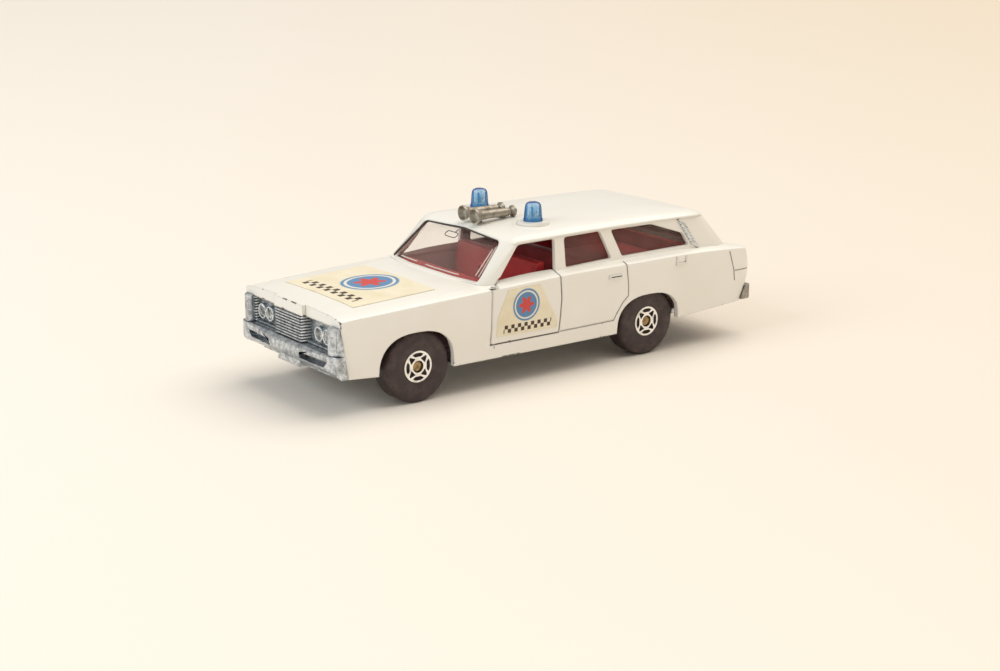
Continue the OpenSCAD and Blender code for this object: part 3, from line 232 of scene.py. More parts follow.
def white_enamel(colours):
    """Warm white gloss paint over cast metal, chipped on the edges, with painted shade in its creases and
    in a door handle recess.
    """
    net = Net("white_enamel")
    tone = net.noise(14, 2, seed=1.0).steps(0.3, 0.7)
    paint = net.blend(tone, colours.paint_shade, colours.paint)
    grime = net.noise(3.2, 5, 0.65, seed=2.0).steps(0.62, 0.8)
    paint = net.blend(grime * 0.10, paint, (0.42, 0.36, 0.28))
    x, y, z = net.axes()
    outer = 1.0 - net.open_sky(0.5, inside=True)
    flecks = net.noise(1.3, 3, 0.6, seed=3.0) * 0.5 + net.noise(7.0, 2, seed=4.0) * 0.5
    handled = (x.steps(34.0, 46.0) + 1.0 - z.steps(9.0, 13.0)).maths("MINIMUM", 1.0)
    chip = outer.steps(0.12, 0.3) * flecks.steps(0.545, 0.585) * handled
    skin_colour = net.blend(chip, paint, (0.10, 0.085, 0.07))
    # Painted shade: the paint turns dark in creases, gaps and recesses, found from how closed in each place
    # is.
    crease_shade = 1.0 - net.open_sky(0.45).steps(0.25, 0.7)
    skin_colour = net.blend(crease_shade * 0.8, skin_colour, (0.075, 0.055, 0.042))
    # Painted shade: a thin near-black line on the flanks stands for the shade in a door handle recess.
    along = (x - HANDLE_GROOVE_X).size().below(HANDLE_GROOVE_HALF)
    groove_shade = along * (z - HANDLE_GROOVE_Z).size().below(0.13) * y.size().above(20.0)
    skin_colour = net.blend(groove_shade, skin_colour, (0.03, 0.025, 0.02))
    fine = net.noise(0.5, 3, seed=5.0)
    height = net.noise(2.6, 2, seed=6.0) * 0.7 + fine * 0.15 - chip
    return net.principled(Base_Color=skin_colour, Roughness=0.24 + fine * 0.14 + chip * 0.3,
                          Metallic=chip * 0.5, Specular_IOR_Level=0.35, Coat_Weight=0.25 - chip * 0.25,
                          Normal=net.bump(height, 0.02, 0.5, rounding_mm=0.4))


def bare_casting(name, colours, painted_glint_strength):
    """Dulled bare zinc with random grime, painted shade in the low places and painted highlights on the
    high ones.
    """
    net = Net(name)
    x = net.axes()[0]
    mottle = net.noise(1.1, 5, 0.65, seed=11.0)
    grime = net.noise(2.6, 5, 0.7, seed=12.0).steps(0.5, 0.68)
    metal = net.blend(mottle.steps(0.34, 0.66), colours.casting_shade, colours.casting)
    # Painted shade: low places are darkened towards near black, as shade falls there; the noise part of
    # this mix is real grime.
    hollow_shade = 1.0 - net.open_sky(0.9).steps(0.2, 0.8)
    grime = (grime * 0.6 + hollow_shade * 0.8).maths("MINIMUM", 1.0)
    surface = net.blend(grime * 0.85, metal, (0.05, 0.048, 0.045))
    fine = net.noise(0.45, 4, 0.6, seed=13.0)
    # Painted highlights: near-white specks where the metal would catch the light, kept out of the low
    # places.
    painted_glint = fine.steps(0.58, 0.68) * (1.0 - hollow_shade)
    surface = net.blend(painted_glint * painted_glint_strength, surface, (0.86, 0.88, 0.88))
    surface = net.blend((1.0 - x.steps(-54.0, -46.0)) * 0.6, surface, (0.24, 0.185, 0.11))
    return net.principled(Base_Color=surface, Metallic=0.95 - grime * 0.35,
                          Roughness=0.22 + fine * 0.16 + grime * 0.22,
                          Normal=net.bump(mottle + fine * 0.6, 0.09, 0.8, rounding_mm=0.25))


def rib_silver():
    """Pale satin metal on the raised ribs."""
    net = Net("rib_silver")
    wear = net.noise(0.8, 4, 0.6, seed=17.0)
    colour = net.blend(wear.steps(0.45, 0.7), (0.82, 0.84, 0.83), (0.42, 0.41, 0.39))
    return net.principled(Base_Color=colour, Metallic=0.25, Roughness=0.28 + wear * 0.2,
                          Normal=net.bump(wear, 0.03, 0.5))


def lamp_face():
    """Bright fluted lamp faces."""
    net = Net("lamp_face")
    y = net.axes()[1]
    flutes = net.add("ShaderNodeMath", {"operation": "SINE"}, {0: y * FLUTES_PER_MM})
    mottle = net.noise(0.8, 3, seed=21.0)
    colour = net.blend(mottle.steps(0.38, 0.66), (0.16, 0.17, 0.18), (0.66, 0.68, 0.7))
    return net.principled(Base_Color=colour, Metallic=0.9, Roughness=0.1 + mottle * 0.12,
                          Normal=net.bump(flutes * 0.5 + mottle * 0.8, 0.1, 0.8))


def window_plastic(colours):
    """Clear moulded plastic with fine scuffs, coloured red-brown as painted shade and sheen: it stands in
    for the shaded red cabin seen through it and warm light on its haze.
    """
    net = Net("window_plastic")
    scuff = net.noise(1.2, 5, 0.7, seed=31.0)
    # Painted shade and sheen: the red-brown colour and the warm scuff colour stand in for the shaded cabin
    # behind and warm light on the haze.
    colour = net.blend(scuff.steps(0.4, 0.8), colours.glass, (0.62, 0.44, 0.38))
    rim = net.add("ShaderNodeLayerWeight", None, {"Blend": 0.3}, out="Facing")
    return net.principled(Base_Color=colour, Roughness=0.03 + scuff * 0.08,
                          Alpha=0.09 + scuff * 0.06 + rim.steps(0.35, 1.0) * 0.5, Coat_Weight=0.8,
                          Normal=net.bump(net.noise(6, 2, seed=32.0), 0.02, 0.4))


def red_plastic(colours):
    """Semi-gloss red moulding."""
    net = Net("red_plastic")
    mottle = net.noise(5, 4, seed=41.0)
    colour = net.blend(mottle.steps(0.3, 0.7), colours.cabin_shade, colours.cabin)
    fine = net.noise(0.6, 3, seed=42.0)
    return net.principled(Base_Color=colour, Roughness=0.34 + fine * 0.18,
                          Normal=net.bump(fine, 0.03, 0.5))


def tyre_black(colours):
    """Matt black moulding with a brown cast and dust."""
    net = Net("tyre_black")
    dust = net.noise(2.2, 5, 0.65, seed=51.0)
    colour = net.blend(dust.steps(0.42, 0.78), colours.tyre, (0.095, 0.06, 0.057))
    fine = net.noise(0.4, 3, seed=52.0)
    return net.principled(Base_Color=colour, Roughness=0.42 + fine * 0.2,
                          Normal=net.bump(fine + dust, 0.04, 0.5))


def bright_plate():
    """Vacuum-plated metal with faint tarnish."""
    net = Net("bright_plate")
    tarnish = net.noise(1.5, 4, 0.6, seed=61.0)
    colour = net.blend(tarnish.steps(0.45, 0.75), (0.86, 0.85, 0.83), (0.52, 0.49, 0.44))
    return net.principled(Base_Color=colour, Metallic=1.0, Roughness=0.1 + tarnish * 0.16,
                          Normal=net.bump(tarnish, 0.02, 0.4))


def axle_brass():
    """Tarnished wire."""
    net = Net("axle_brass")
    stain = net.noise(0.7, 4, 0.6, seed=71.0)
    colour = net.blend(stain.steps(0.35, 0.7), (0.52, 0.37, 0.18), (0.2, 0.13, 0.07))
    return net.principled(Base_Color=colour, Metallic=0.9, Roughness=0.3 + stain * 0.25,
                          Normal=net.bump(stain, 0.04, 0.6))


def spring_strip():
    """Rolled steel strip."""
    net = Net("spring_strip")
    grain = net.noise(0.8, 3, seed=76.0)
    colour = net.blend(grain.steps(0.3, 0.7), (0.3, 0.3, 0.31), (0.5, 0.5, 0.51))
    return net.principled(Base_Color=colour, Metallic=1.0, Roughness=0.3 + grain * 0.2)


def beacon_blue(colours):
    """Translucent blue moulding, deeper where it is seen edge on and at its foot."""
    net = Net("beacon_blue")
    z = net.axes()[2]
    foot = 1.0 - z.steps(32.4, 33.4)
    rim = net.add("ShaderNodeLayerWeight", None, {"Blend": 0.45}, out="Facing")
    streak = net.noise(0.9, 3, seed=81.0)
    deep = (rim.steps(0.26, 0.56) + foot * 0.6 + streak * 0.08).maths("MINIMUM", 1.0)
    colour = net.blend(deep, colours.beacon, colours.beacon_shade)
    return net.principled(Base_Color=colour, Roughness=0.08 + streak * 0.1, IOR=1.49,
                          Alpha=0.4 + deep * 0.58, Specular_IOR_Level=0.3, Coat_Weight=0.15,
                          Normal=net.bump(streak, 0.03, 0.4))


def beacon_painted_light_core():
    """Pale block inside a beacon: painted light, standing in for the bright centre of the lit dome."""
    net = Net("beacon_painted_light_core")
    streak = net.noise(0.8, 3, seed=84.0)
    colour = net.blend(streak.steps(0.35, 0.65), (0.9, 0.98, 1.0), (0.55, 0.82, 1.0))
    return net.principled(Base_Color=colour, Roughness=0.3 + streak * 0.2)


def beacon_rib(colours):
    """Thick blue moulding that looks dark through the dome."""
    net = Net("beacon_rib")
    streak = net.noise(0.6, 3, seed=85.0)
    colour = net.blend(streak, colours.beacon_shade, (0.02, 0.14, 0.42))
    return net.principled(Base_Color=colour, Roughness=0.3 + streak * 0.2)


def painted_shade_bead():
    """Painted shade: a dark bead for the shaded gap round the windscreen, also drawn as the mirror's
    outline and the tailgate's edge lines.
    """
    net = Net("painted_shade_bead")
    grain = net.noise(0.7, 3, seed=86.0)
    colour = net.blend(grain, (0.035, 0.025, 0.024), (0.075, 0.055, 0.05))
    return net.principled(Base_Color=colour, Roughness=0.4 + grain * 0.2)


def relief_lines():
    """Pale raised lines of the clear moulding."""
    net = Net("relief_lines")
    grain = net.noise(0.6, 3, seed=87.0)
    colour = net.blend(grain, (0.82, 0.7, 0.64), (0.6, 0.45, 0.4))
    return net.principled(Base_Color=colour, Roughness=0.3 + grain * 0.2)


def plated_silver():
    """Worn silver plating on the horns, with a painted highlight in their mouths."""
    net = Net("plated_silver")
    x = net.axes()[0]
    wear = net.noise(1.3, 5, 0.65, seed=91.0)
    colour = net.blend(wear.steps(0.4, 0.68), (0.4, 0.35, 0.28), (0.2, 0.17, 0.135))
    # Painted highlight: inside each bell the plating is pale and less metallic, as the reflection in the
    # throat looks.
    mouth_highlight = x.steps(8.2, 8.8) * (1.0 - net.open_sky(1.6).steps(0.5, 0.85))
    colour = net.blend(mouth_highlight * wear.steps(0.3, 0.6), colour, (0.82, 0.86, 0.82))
    return net.principled(Base_Color=colour, Metallic=0.7 - mouth_highlight * 0.4, Roughness=0.3 + wear * 0.25,
                          Normal=net.bump(wear, 0.05, 0.6))


def label_paper(name, colours, across, up, roundel_place, roundel_radius, bar_place, bar_size):
    """Yellowed paper with a blue roundel and a dark chequered bar; across and up pick the print's axes."""
    net = Net(name)
    axes = net.axes()
    u = axes[across[0]] * across[1]
    v = axes[up[0]] * up[1]
    stain = net.noise(4.5, 4, seed=101.0)
    paper = net.blend(stain.steps(0.3, 0.75), colours.paper, colours.paper_shade)
    du = u - roundel_place[0]
    dv = v - roundel_place[1]
    radius = (du * du + dv * dv) ** 0.5
    edge = 0.08 * roundel_radius
    disc = 1.0 - radius.steps(roundel_radius - edge, roundel_radius)
    ring = (radius - roundel_radius * 0.8).size()
    ring = 1.0 - ring.steps(roundel_radius * 0.03, roundel_radius * 0.07)
    turn = net.add("ShaderNodeMath", {"operation": "ARCTAN2"}, {0: dv, 1: du})
    points = net.add("ShaderNodeMath", {"operation": "COSINE"}, {0: turn * STAR_POINTS})
    star = 1.0 - (radius / (0.44 + points * 0.13)).steps(roundel_radius * 0.92, roundel_radius)
    cell = bar_size[1] / 2
    column = ((u - bar_place[0]) / cell).maths("FLOOR")
    row = ((v - bar_place[1]) / cell).maths("FLOOR")
    chequer = (column + row).maths("FLOORED_MODULO", 2.0)
    inside_u = 1.0 - (u - bar_place[0]).size().above(bar_size[0] / 2)
    inside_v = 1.0 - (v - bar_place[1]).size().above(bar_size[1] / 2)
    bar = chequer * inside_u * inside_v
    scuff = 1.0 - net.noise(0.9, 5, 0.7, seed=102.0).steps(0.66, 0.74)
    print_colour = net.blend(disc * scuff, paper, colours.print_blue)
    print_colour = net.blend(ring * disc * scuff, print_colour, (0.78, 0.75, 0.66))
    print_colour = net.blend(star * scuff, print_colour, colours.print_red)
    print_colour = net.blend(bar * scuff, print_colour, colours.print_dark)
    return net.principled(Base_Color=print_colour, Roughness=0.38 + stain * 0.2,
                          Normal=net.bump(stain, 0.03, 0.4))


# Mesh helpers

def merged_copy(node):
    """A bmesh copy of a CAD node with its loose triangles joined into flat faces."""
    mesh = bmesh.new()
    mesh.from_mesh(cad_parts[node].data)
    bmesh.ops.remove_doubles(mesh, verts=mesh.verts, dist=MERGE_REACH)
    bmesh.ops.dissolve_limit(mesh, angle_limit=FLAT_ANGLE, verts=mesh.verts, edges=mesh.edges)
    return mesh


def mark_edges(mesh):
    """Smooth faces with sharp edges where the faces meet at a steep angle."""
    for face in mesh.faces:
        face.smooth = True
    for edge in mesh.edges:
        edge.smooth = edge.is_manifold and edge.calc_face_angle(0.0) < SMOOTH_ANGLE


def add_piece(name, mesh, material):
    """An object made of a bmesh, which is used up."""
    data = bpy.data.meshes.new(name)
    mesh.to_mesh(data)
    mesh.free()
    data.materials.append(material)
    piece = bpy.data.objects.new(name, data)
    bpy.context.scene.collection.objects.link(piece)
    return piece


def full_turn(count):
    """Evenly spaced angles round a circle."""
    return [math.tau * k / count for k in range(count)]


def tube(mesh, points, radius, facing, closed=False, sides=8):
    """A bead along points on a surface that looks towards facing."""
    count = len(points)
    rings = []
    for i, point in enumerate(points):
        before = points[i - 1] if closed or i else point
        after = points[(i + 1) % count] if closed or i < count - 1 else point
        way = (after - before).normalized()
        side = way.cross(facing).normalized()
        rise = side.cross(way)
        spokes = [side * math.cos(a) + rise * math.sin(a) for a in full_turn(sides)]
        rings.append([mesh.verts.new(point + spoke * radius) for spoke in spokes])
    for i in range(count if closed else count - 1):
        ring, following = rings[i], rings[(i + 1) % count]
        for k in range(sides):
            n = (k + 1) % sides
            mesh.faces.new((ring[k], ring[n], following[n], following[k]))
    if not closed:
        mesh.faces.new(rings[0])
        mesh.faces.new(rings[-1])
    bmesh.ops.recalc_face_normals(mesh, faces=mesh.faces)
    for face in mesh.faces:
        face.smooth = True


def row_tree():
    """A node tree that repeats its geometry along a step, each copy a little uneven."""
    tree = bpy.data.node_groups.new("row_of_copies", "GeometryNodeTree")
    face = tree.interface
    for name, kind in (("Geometry", "Geometry"), ("Count", "Int"), ("Step", "Vector"), ("Seed", "Int"),
                       ("Material", "Material")):
        face.new_socket(name, in_out="INPUT", socket_type=f"NodeSocket{kind}")
    face.new_socket("Geometry", in_out="OUTPUT", socket_type="NodeSocketGeometry")
    kinds = ("NodeGroupInput", "GeometryNodeMeshLine", "FunctionNodeRandomValue",
             "GeometryNodeInstanceOnPoints", "GeometryNodeRealizeInstances", "GeometryNodeSetMaterial",
             "NodeGroupOutput")
    given, line, uneven, copies, solid, dress, result = [tree.nodes.new(kind) for kind in kinds]
    uneven.data_type = "FLOAT_VECTOR"
    uneven.inputs[0].default_value = (0.94, 0.94, 0.94)
    uneven.inputs[1].default_value = (1.0, 1.0, 1.0)
    for source, target in ((given.outputs["Count"], line.inputs["Count"]),
                           (given.outputs["Step"], line.inputs["Offset"]),
                           (given.outputs["Seed"], uneven.inputs["Seed"]),
                           (line.outputs["Mesh"], copies.inputs["Points"]),
                           (given.outputs["Geometry"], copies.inputs["Instance"]),
                           (uneven.outputs[0], copies.inputs["Scale"]),
                           (copies.outputs["Instances"], solid.inputs["Geometry"]),
                           (solid.outputs["Geometry"], dress.inputs["Geometry"]),
                           (given.outputs["Material"], dress.inputs["Material"]),
                           (dress.outputs["Geometry"], result.inputs["Geometry"])):
        tree.links.new(source, target)
    return tree


def row_of(name, mesh, start, step, count, seed, material):
    """A piece made of evenly stepped copies of mesh, which is drawn round the origin."""
    tree = bpy.data.node_groups.get("row_of_copies") or row_tree()
    piece = add_piece(name, mesh, material)
    row = piece.modifiers.new("row", "NODES")
    row.node_group = tree
    sockets = {item.name: item.identifier for item in tree.interface.items_tree if item.in_out == "INPUT"}
    row[sockets["Count"]] = count
    row[sockets["Step"]] = step
    row[sockets["Seed"]] = seed
    row[sockets["Material"]] = material
    bake_modifiers(piece)
    piece.data.transform(Matrix.Translation(start))
    return piece


def small_bar(size, turn=0.0, rounding=0.3, axis="Y"):
    """A round-edged bar about the origin, turned about an axis."""
    mesh = bmesh.new()
    bmesh.ops.create_cube(mesh, size=1)
    bmesh.ops.scale(mesh, vec=size, verts=mesh.verts)
    bmesh.ops.bevel(mesh, geom=mesh.edges[:], offset=min(size) * rounding, segments=2, affect="EDGES")
    bmesh.ops.rotate(mesh, matrix=Matrix.Rotation(turn, 3, axis), verts=mesh.verts)
    for face in mesh.faces:
        face.smooth = True
    return mesh


def bake_modifiers(piece):
    """Turns the evaluated piece into a plain mesh."""
    graph = bpy.context.evaluated_depsgraph_get()
    done = bpy.data.meshes.new_from_object(piece.evaluated_get(graph))
    piece.modifiers.clear()
    piece.data = done


def round_edges(piece, width_mm, segments):
    """Rounds the edges where flat faces meet."""
    bevel = piece.modifiers.new("rounded", "BEVEL")
    bevel.width = width_mm * MM
    bevel.segments = segments
    bevel.limit_method = "ANGLE"
    bevel.angle_limit = BEVEL_ANGLE
    bake_modifiers(piece)


def settle(piece, body, slot, *nodes):
    """Ties a finished piece to its body and hides the nodes it stands for; the finish slot is not used."""
    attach(piece, body)
    if nodes:
        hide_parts(*nodes)


def dressed(node, name, body, slot, material, rounding=0.0, segments=2):
    """A finished copy of a CAD node."""
    mesh = merged_copy(node)
    mark_edges(mesh)
    piece = add_piece(name, mesh, material)
    if rounding:
        round_edges(piece, rounding, segments)
    settle(piece, body, slot, node)


# Settings

def colour_setting(label, note, default):
    return bpy.props.FloatVectorProperty(name=label, description=note, default=default,
                                         subtype="COLOR", size=3, min=0, max=1)


class ToyCarColours(bpy.types.PropertyGroup):
    """Colours of the car's finishes."""

    paint: colour_setting("Paint", "Body paint", (0.88, 0.85, 0.79))
    paint_shade: colour_setting("Paint shade", "Yellowed body paint", (0.86, 0.82, 0.745))
    casting: colour_setting("Casting", "Bare metal", (0.7, 0.745, 0.79))
    casting_shade: colour_setting("Casting shade", "Dull bare metal", (0.31, 0.335, 0.36))
    # Painted shade and sheen: the window colour stands in for the shaded red cabin seen through the
    # moulding.
    glass: colour_setting("Glass", "Window moulding", (0.44, 0.27, 0.24))
    cabin: colour_setting("Cabin", "Interior moulding", (0.64, 0.048, 0.048))
    cabin_shade: colour_setting("Cabin shade", "Interior moulding in folds", (0.48, 0.028, 0.03))
    tyre: colour_setting("Tyre", "Wheel moulding", (0.038, 0.022, 0.021))
    beacon: colour_setting("Beacon", "Beacon moulding", (0.16, 0.54, 0.93))
    beacon_shade: colour_setting("Beacon foot", "Beacon moulding at its foot", (0.01, 0.07, 0.26))
    paper: colour_setting("Paper", "Label ground", (0.86, 0.78, 0.60))
    paper_shade: colour_setting("Paper stain", "Yellowed label ground", (0.78, 0.68, 0.48))
    print_blue: colour_setting("Print blue", "Label roundel", (0.10, 0.24, 0.44))
    print_red: colour_setting("Print red", "Label star", (0.60, 0.06, 0.05))
    print_dark: colour_setting("Print dark", "Label bar", (0.055, 0.03, 0.022))
    floor: colour_setting("Floor", "Pale seamless floor", (0.84, 0.795, 0.745))
    # Painted light: the warmer floor colour to the right stands for warm light falling there.
    floor_warm_light: colour_setting("Warm floor", "Floor to the right", (0.84, 0.735, 0.605))


def length_setting(label, note, default_mm):
    return bpy.props.FloatProperty(name=label, description=note, default=default_mm * MM, min=0,
                                   precision=5, subtype="DISTANCE", unit="LENGTH")


def count_setting(label, note, default):
    return bpy.props.IntProperty(name=label, description=note, default=default, min=1, subtype="UNSIGNED")


class ToyCarSizes(bpy.types.PropertyGroup):
    """Sizes of the fine forms that the scene adds."""

    rib_length: length_setting("Pillar rib length", "Ribs on the rear pillars, along the rib", 3.0)
    rib_width: length_setting("Pillar rib width", "Ribs on the rear pillars, across the rib", 0.4)
    rib_count: count_setting("Pillar ribs", "Ribs on each rear pillar", 9)
    tail_line: length_setting("Tailgate line", "Radius of the tailgate's edge lines", 0.11)
    comb_width: length_setting("Comb width", "Thickness of the bright combs on the grille", 0.16)
    comb_height: length_setting("Comb height", "Height of each comb tooth", 0.32)
    comb_pitch: length_setting("Comb pitch", "Rise from tooth to tooth", 0.6)
    comb_count: count_setting("Comb teeth", "Teeth of each comb", 9)
    lamp_ring: length_setting("Lamp ring", "Radius of the rings round the lamps", 1.48)
    lamp_ring_bead: length_setting("Lamp ring bead", "Thickness of those rings, as a radius", 0.16)
    screen_bead: length_setting("Screen bead", "Radius of the bead round the windscreen", 0.21)
    relief_bead: length_setting("Relief bead", "Radius of the raised wiper lines", 0.16)
    mirror_bead: length_setting("Mirror bead", "Radius of the raised mirror lines", 0.1)
    # The beacon core is painted light: a pale block for the dome's bright centre.
    core_width: length_setting("Beacon core width", "Pale core inside each beacon", 1.9)
    core_height: length_setting("Beacon core height", "Pale core inside each beacon", 2.6)
    beacon_rib: length_setting("Beacon rib width", "Dark ribs inside each beacon", 0.42)
    beacon_rib_height: length_setting("Beacon rib height", "Dark ribs inside each beacon", 2.5)


def colours():
    return bpy.context.scene.toy_car_colours


def trim_sizes():
    return bpy.context.scene.toy_car_sizes


# Pieces: their places are in millimetres, apart from values that hold MM

PILLAR_RIB_START = Vector((-39.2, 17.9, 23.1)) * MM
PILLAR_RIB_STEP = Vector((0.444, -0.08, 0.68)) * MM
PILLAR_RIB_TURN = math.radians(-30)
TAILGATE_EDGE_Y = 12.6
TAILGATE_EDGE = ((-53.85, 20.5), (-55.55, 15.85), (-53.8, 12.2))
TAIL_FACING = Vector((-1, 0, 0.2))


class TOYCAR_OT_body(bpy.types.Operator):
    """Painted shell and doors."""

    bl_idname = "toycar.body"
    bl_label = "Body shell and doors"

    def execute(self, context):
        paint = white_enamel(colours())
        dressed("body_shell", "painted_shell", "car", "white_paint", paint)
        worn = rib_silver()
        sizes = trim_sizes()
        for side, sign in SIDES:
            dressed(f"{side}_front_door", f"{side}_door_skin", f"{side}_door", "white_paint", paint)
            bar = small_bar((sizes.rib_length, sizes.rib_width, sizes.rib_width), PILLAR_RIB_TURN)
            mirror = Vector((1, sign, 1))
            ribs = row_of(f"{side}_pillar_ribs", bar, PILLAR_RIB_START * mirror, PILLAR_RIB_STEP * mirror,
                          sizes.rib_count, 5, worn)
            settle(ribs, "car", "bare_casting")
        # Painted shade: dark raised lines stand for the shaded shut lines round the tailgate.
        lines = bmesh.new()
        for y in (-TAILGATE_EDGE_Y, TAILGATE_EDGE_Y):
            edge = [Vector((x, y, z)) * MM for x, z in TAILGATE_EDGE]
            tube(lines, edge, sizes.tail_line, TAIL_FACING)
        settle(add_piece("tailgate_lines", lines, painted_shade_bead()), "car", "white_paint")
        return {"FINISHED"}


COMB_LOW_Z = 13.2
CENTRE_COMB_LENGTH = 2.2 * MM
CENTRE_COMB_PLACE = (54.05, 5.26)
CENTRE_COMB_TURN = math.radians(9.9)
BAY_COMB_LENGTH = 1.5 * MM
BAY_COMB_PLACE = (53.4, 15.26)
LAMP_PLACE = (53.8, 9.8, 15.5)
LAMP_PITCH = 3.1 * MM
LAMPS_PER_SIDE = 2
LAMP_RING_POINTS = 24
AHEAD = Vector((1, 0, 0))


class TOYCAR_OT_front_end(bpy.types.Operator):
    """Bare metal front end, bumpers and base."""

    bl_idname = "toycar.front_end"
    bl_label = "Front end and base"

    def execute(self, context):
        dressed("base_plate", "base_casting", "car", "bare_casting",
                bare_casting("base_metal", colours(), 0.9), rounding=0.12)
        dressed("front_grille", "grille_casting", "car", "bare_casting",
                bare_casting("grille_metal", colours(), 0.25))
        dressed("headlamp_lenses", "lamp_faces", "car", "bright_casting", lamp_face())
        # Painted light: the combs get paler metal than the grille casting, as their side faces are lit.
        bright = rib_silver()
        for side, sign in SIDES:
            self.add_comb(f"{side}_centre_comb", sign, CENTRE_COMB_PLACE, CENTRE_COMB_LENGTH,
                          -sign * CENTRE_COMB_TURN, 7, bright)
            self.add_comb(f"{side}_bay_comb", sign, BAY_COMB_PLACE, BAY_COMB_LENGTH, 0.0, 8, bright)
            self.add_lamp_rings(side, sign, bright)
        return {"FINISHED"}

    def add_comb(self, name, sign, place, length, turn, seed, material):
        """Bright teeth on one upright edge of the grille, paler than the grille casting as painted light on
        their lit side faces.
        """
        sizes = trim_sizes()
        tooth = small_bar((length, sizes.comb_width, sizes.comb_height), turn, axis="Z")
        start = Vector((place[0], sign * place[1], COMB_LOW_Z)) * MM
        comb = row_of(name, tooth, start, (0, 0, sizes.comb_pitch), sizes.comb_count, seed, material)
        settle(comb, "car", "bright_casting")

    def add_lamp_rings(self, side, sign, material):
        """The rims of one side's lamps."""
        sizes = trim_sizes()
        ring = bmesh.new()
        turns = full_turn(LAMP_RING_POINTS)
        points = [Vector((0, math.cos(a), math.sin(a))) * sizes.lamp_ring for a in turns]
        tube(ring, points, sizes.lamp_ring_bead, AHEAD, closed=True)
        x, y, z = LAMP_PLACE
        rings = row_of(f"{side}_lamp_rings", ring, Vector((x, sign * y, z)) * MM, (0, sign * LAMP_PITCH, 0),
                       LAMPS_PER_SIDE, 9, material)
        settle(rings, "car", "bright_casting")


SCREEN_FACING = Vector((0.694, 0, 0.72))
SCREEN_CORNERS = ((16.1, 22.1), (13.85, 29.7), (0, 30.3), (-13.85, 29.7), (-16.1, 22.1), (0, 22.4))
SCREEN_FOOT = (19.8, 16.3, 22.0)
SCREEN_HEIGHT = 8.1
SCREEN_LEAN = 8.4
SCREEN_NARROWING = 2.9
SCREEN_BOW = 2.2
BEAD_DEPTH = 0.35
RELIEF_DEPTH = 0.8
WIPER_LINES = ((-13.6, 23.1, -6.2, 23.3), (-2.6, 23.3, 9.0, 23.2), (14.3, 23.5, 12.7, 29.0),
               (13.3, 23.6, 12.2, 28.4))
LINE_STEPS = 8
MIRROR_MIDDLE = (-3.0, 28.95)
MIRROR_HALF = (2.1, 0.45)
MIRROR_POINTS = 28
MIRROR_STEM = ((-2.3, 29.4), (-2.1, 30.0))


def on_screen(y, z, depth):
    """A place depth millimetres behind the windscreen's outer face."""
    foot_x, foot_y, foot_z = SCREEN_FOOT
    share = (z - foot_z) / SCREEN_HEIGHT
    part = abs(y) / (foot_y - SCREEN_NARROWING * share)
    bow = SCREEN_BOW * (1 - 0.8 * share) * (1 - 0.5 * part if part < 0.5 else 1.5 * (1 - part))
    return Vector((foot_x - SCREEN_LEAN * share + bow, y, z)) * MM - SCREEN_FACING * depth * MM


def squared_circle(turn):
    """A point of a round-cornered square of half side 1."""
    across, up = math.cos(turn), math.sin(turn)
    return math.copysign(abs(across) ** 0.5, across), math.copysign(abs(up) ** 0.5, up)


def screen_outline(steps=12, reach=1.1):
    """The windscreen opening's outline with round corners."""
    corners = [Vector(corner) for corner in SCREEN_CORNERS]
    outline = []
    for i, corner in enumerate(corners):
        before = corners[i - 1]
        after = corners[(i + 1) % len(corners)]
        start = corner + (before - corner).normalized() * reach
        stop = corner + (after - corner).normalized() * reach
        following = after + (corner - after).normalized() * reach
        for k in range(5):
            t = k / 4
            outline.append((1 - t) ** 2 * start + 2 * t * (1 - t) * corner + t * t * stop)
        outline += [stop.lerp(following, k / steps) for k in range(1, steps)]
    return outline


class TOYCAR_OT_screen_trim(bpy.types.Operator):
    """Dark bead round the windscreen as painted shade in its gap, and the moulding's raised mirror and
    wiper lines.
    """

    bl_idname = "toycar.screen_trim"
    bl_label = "Windscreen trim"

    def execute(self, context):
        sizes = trim_sizes()
        mesh = bmesh.new()
        # Painted shade: a dark bead stands for the shaded gap between the windscreen and the body.
        outline = [on_screen(p.x, p.y, BEAD_DEPTH) for p in screen_outline()]
        tube(mesh, outline, sizes.screen_bead, SCREEN_FACING, closed=True)
        settle(add_piece("screen_bead", mesh, painted_shade_bead()), "car", "clear_plastic")
        mesh = bmesh.new()
        for y0, z0, y1, z1 in WIPER_LINES:
            shares = [k / LINE_STEPS for k in range(LINE_STEPS + 1)]
            line = [on_screen(y0 + (y1 - y0) * t, z0 + (z1 - z0) * t, RELIEF_DEPTH) for t in shares]
            tube(mesh, line, sizes.relief_bead, SCREEN_FACING)
        settle(add_piece("wiper_lines", mesh, relief_lines()), "car", "clear_plastic")
        # The mirror's raised outline in the clear moulding is drawn dark, as painted shade.
        mesh = bmesh.new()
        mirror = []
        for turn in full_turn(MIRROR_POINTS):
            across, up = squared_circle(turn)
            y = MIRROR_MIDDLE[0] + MIRROR_HALF[0] * across
            z = MIRROR_MIDDLE[1] + MIRROR_HALF[1] * up
            mirror.append(on_screen(y, z, RELIEF_DEPTH))
        tube(mesh, mirror, sizes.mirror_bead, SCREEN_FACING, closed=True)
        stem = [on_screen(y, z, RELIEF_DEPTH) for y, z in MIRROR_STEM]
        tube(mesh, stem, sizes.mirror_bead, SCREEN_FACING)
        settle(add_piece("mirror_lines", mesh, painted_shade_bead()), "car", "clear_plastic")
        return {"FINISHED"}


LEAF_CUTS = 8
LEAF_FREE = 6.5 * MM
LEAF_OVER_AXLE = 1.3 * MM


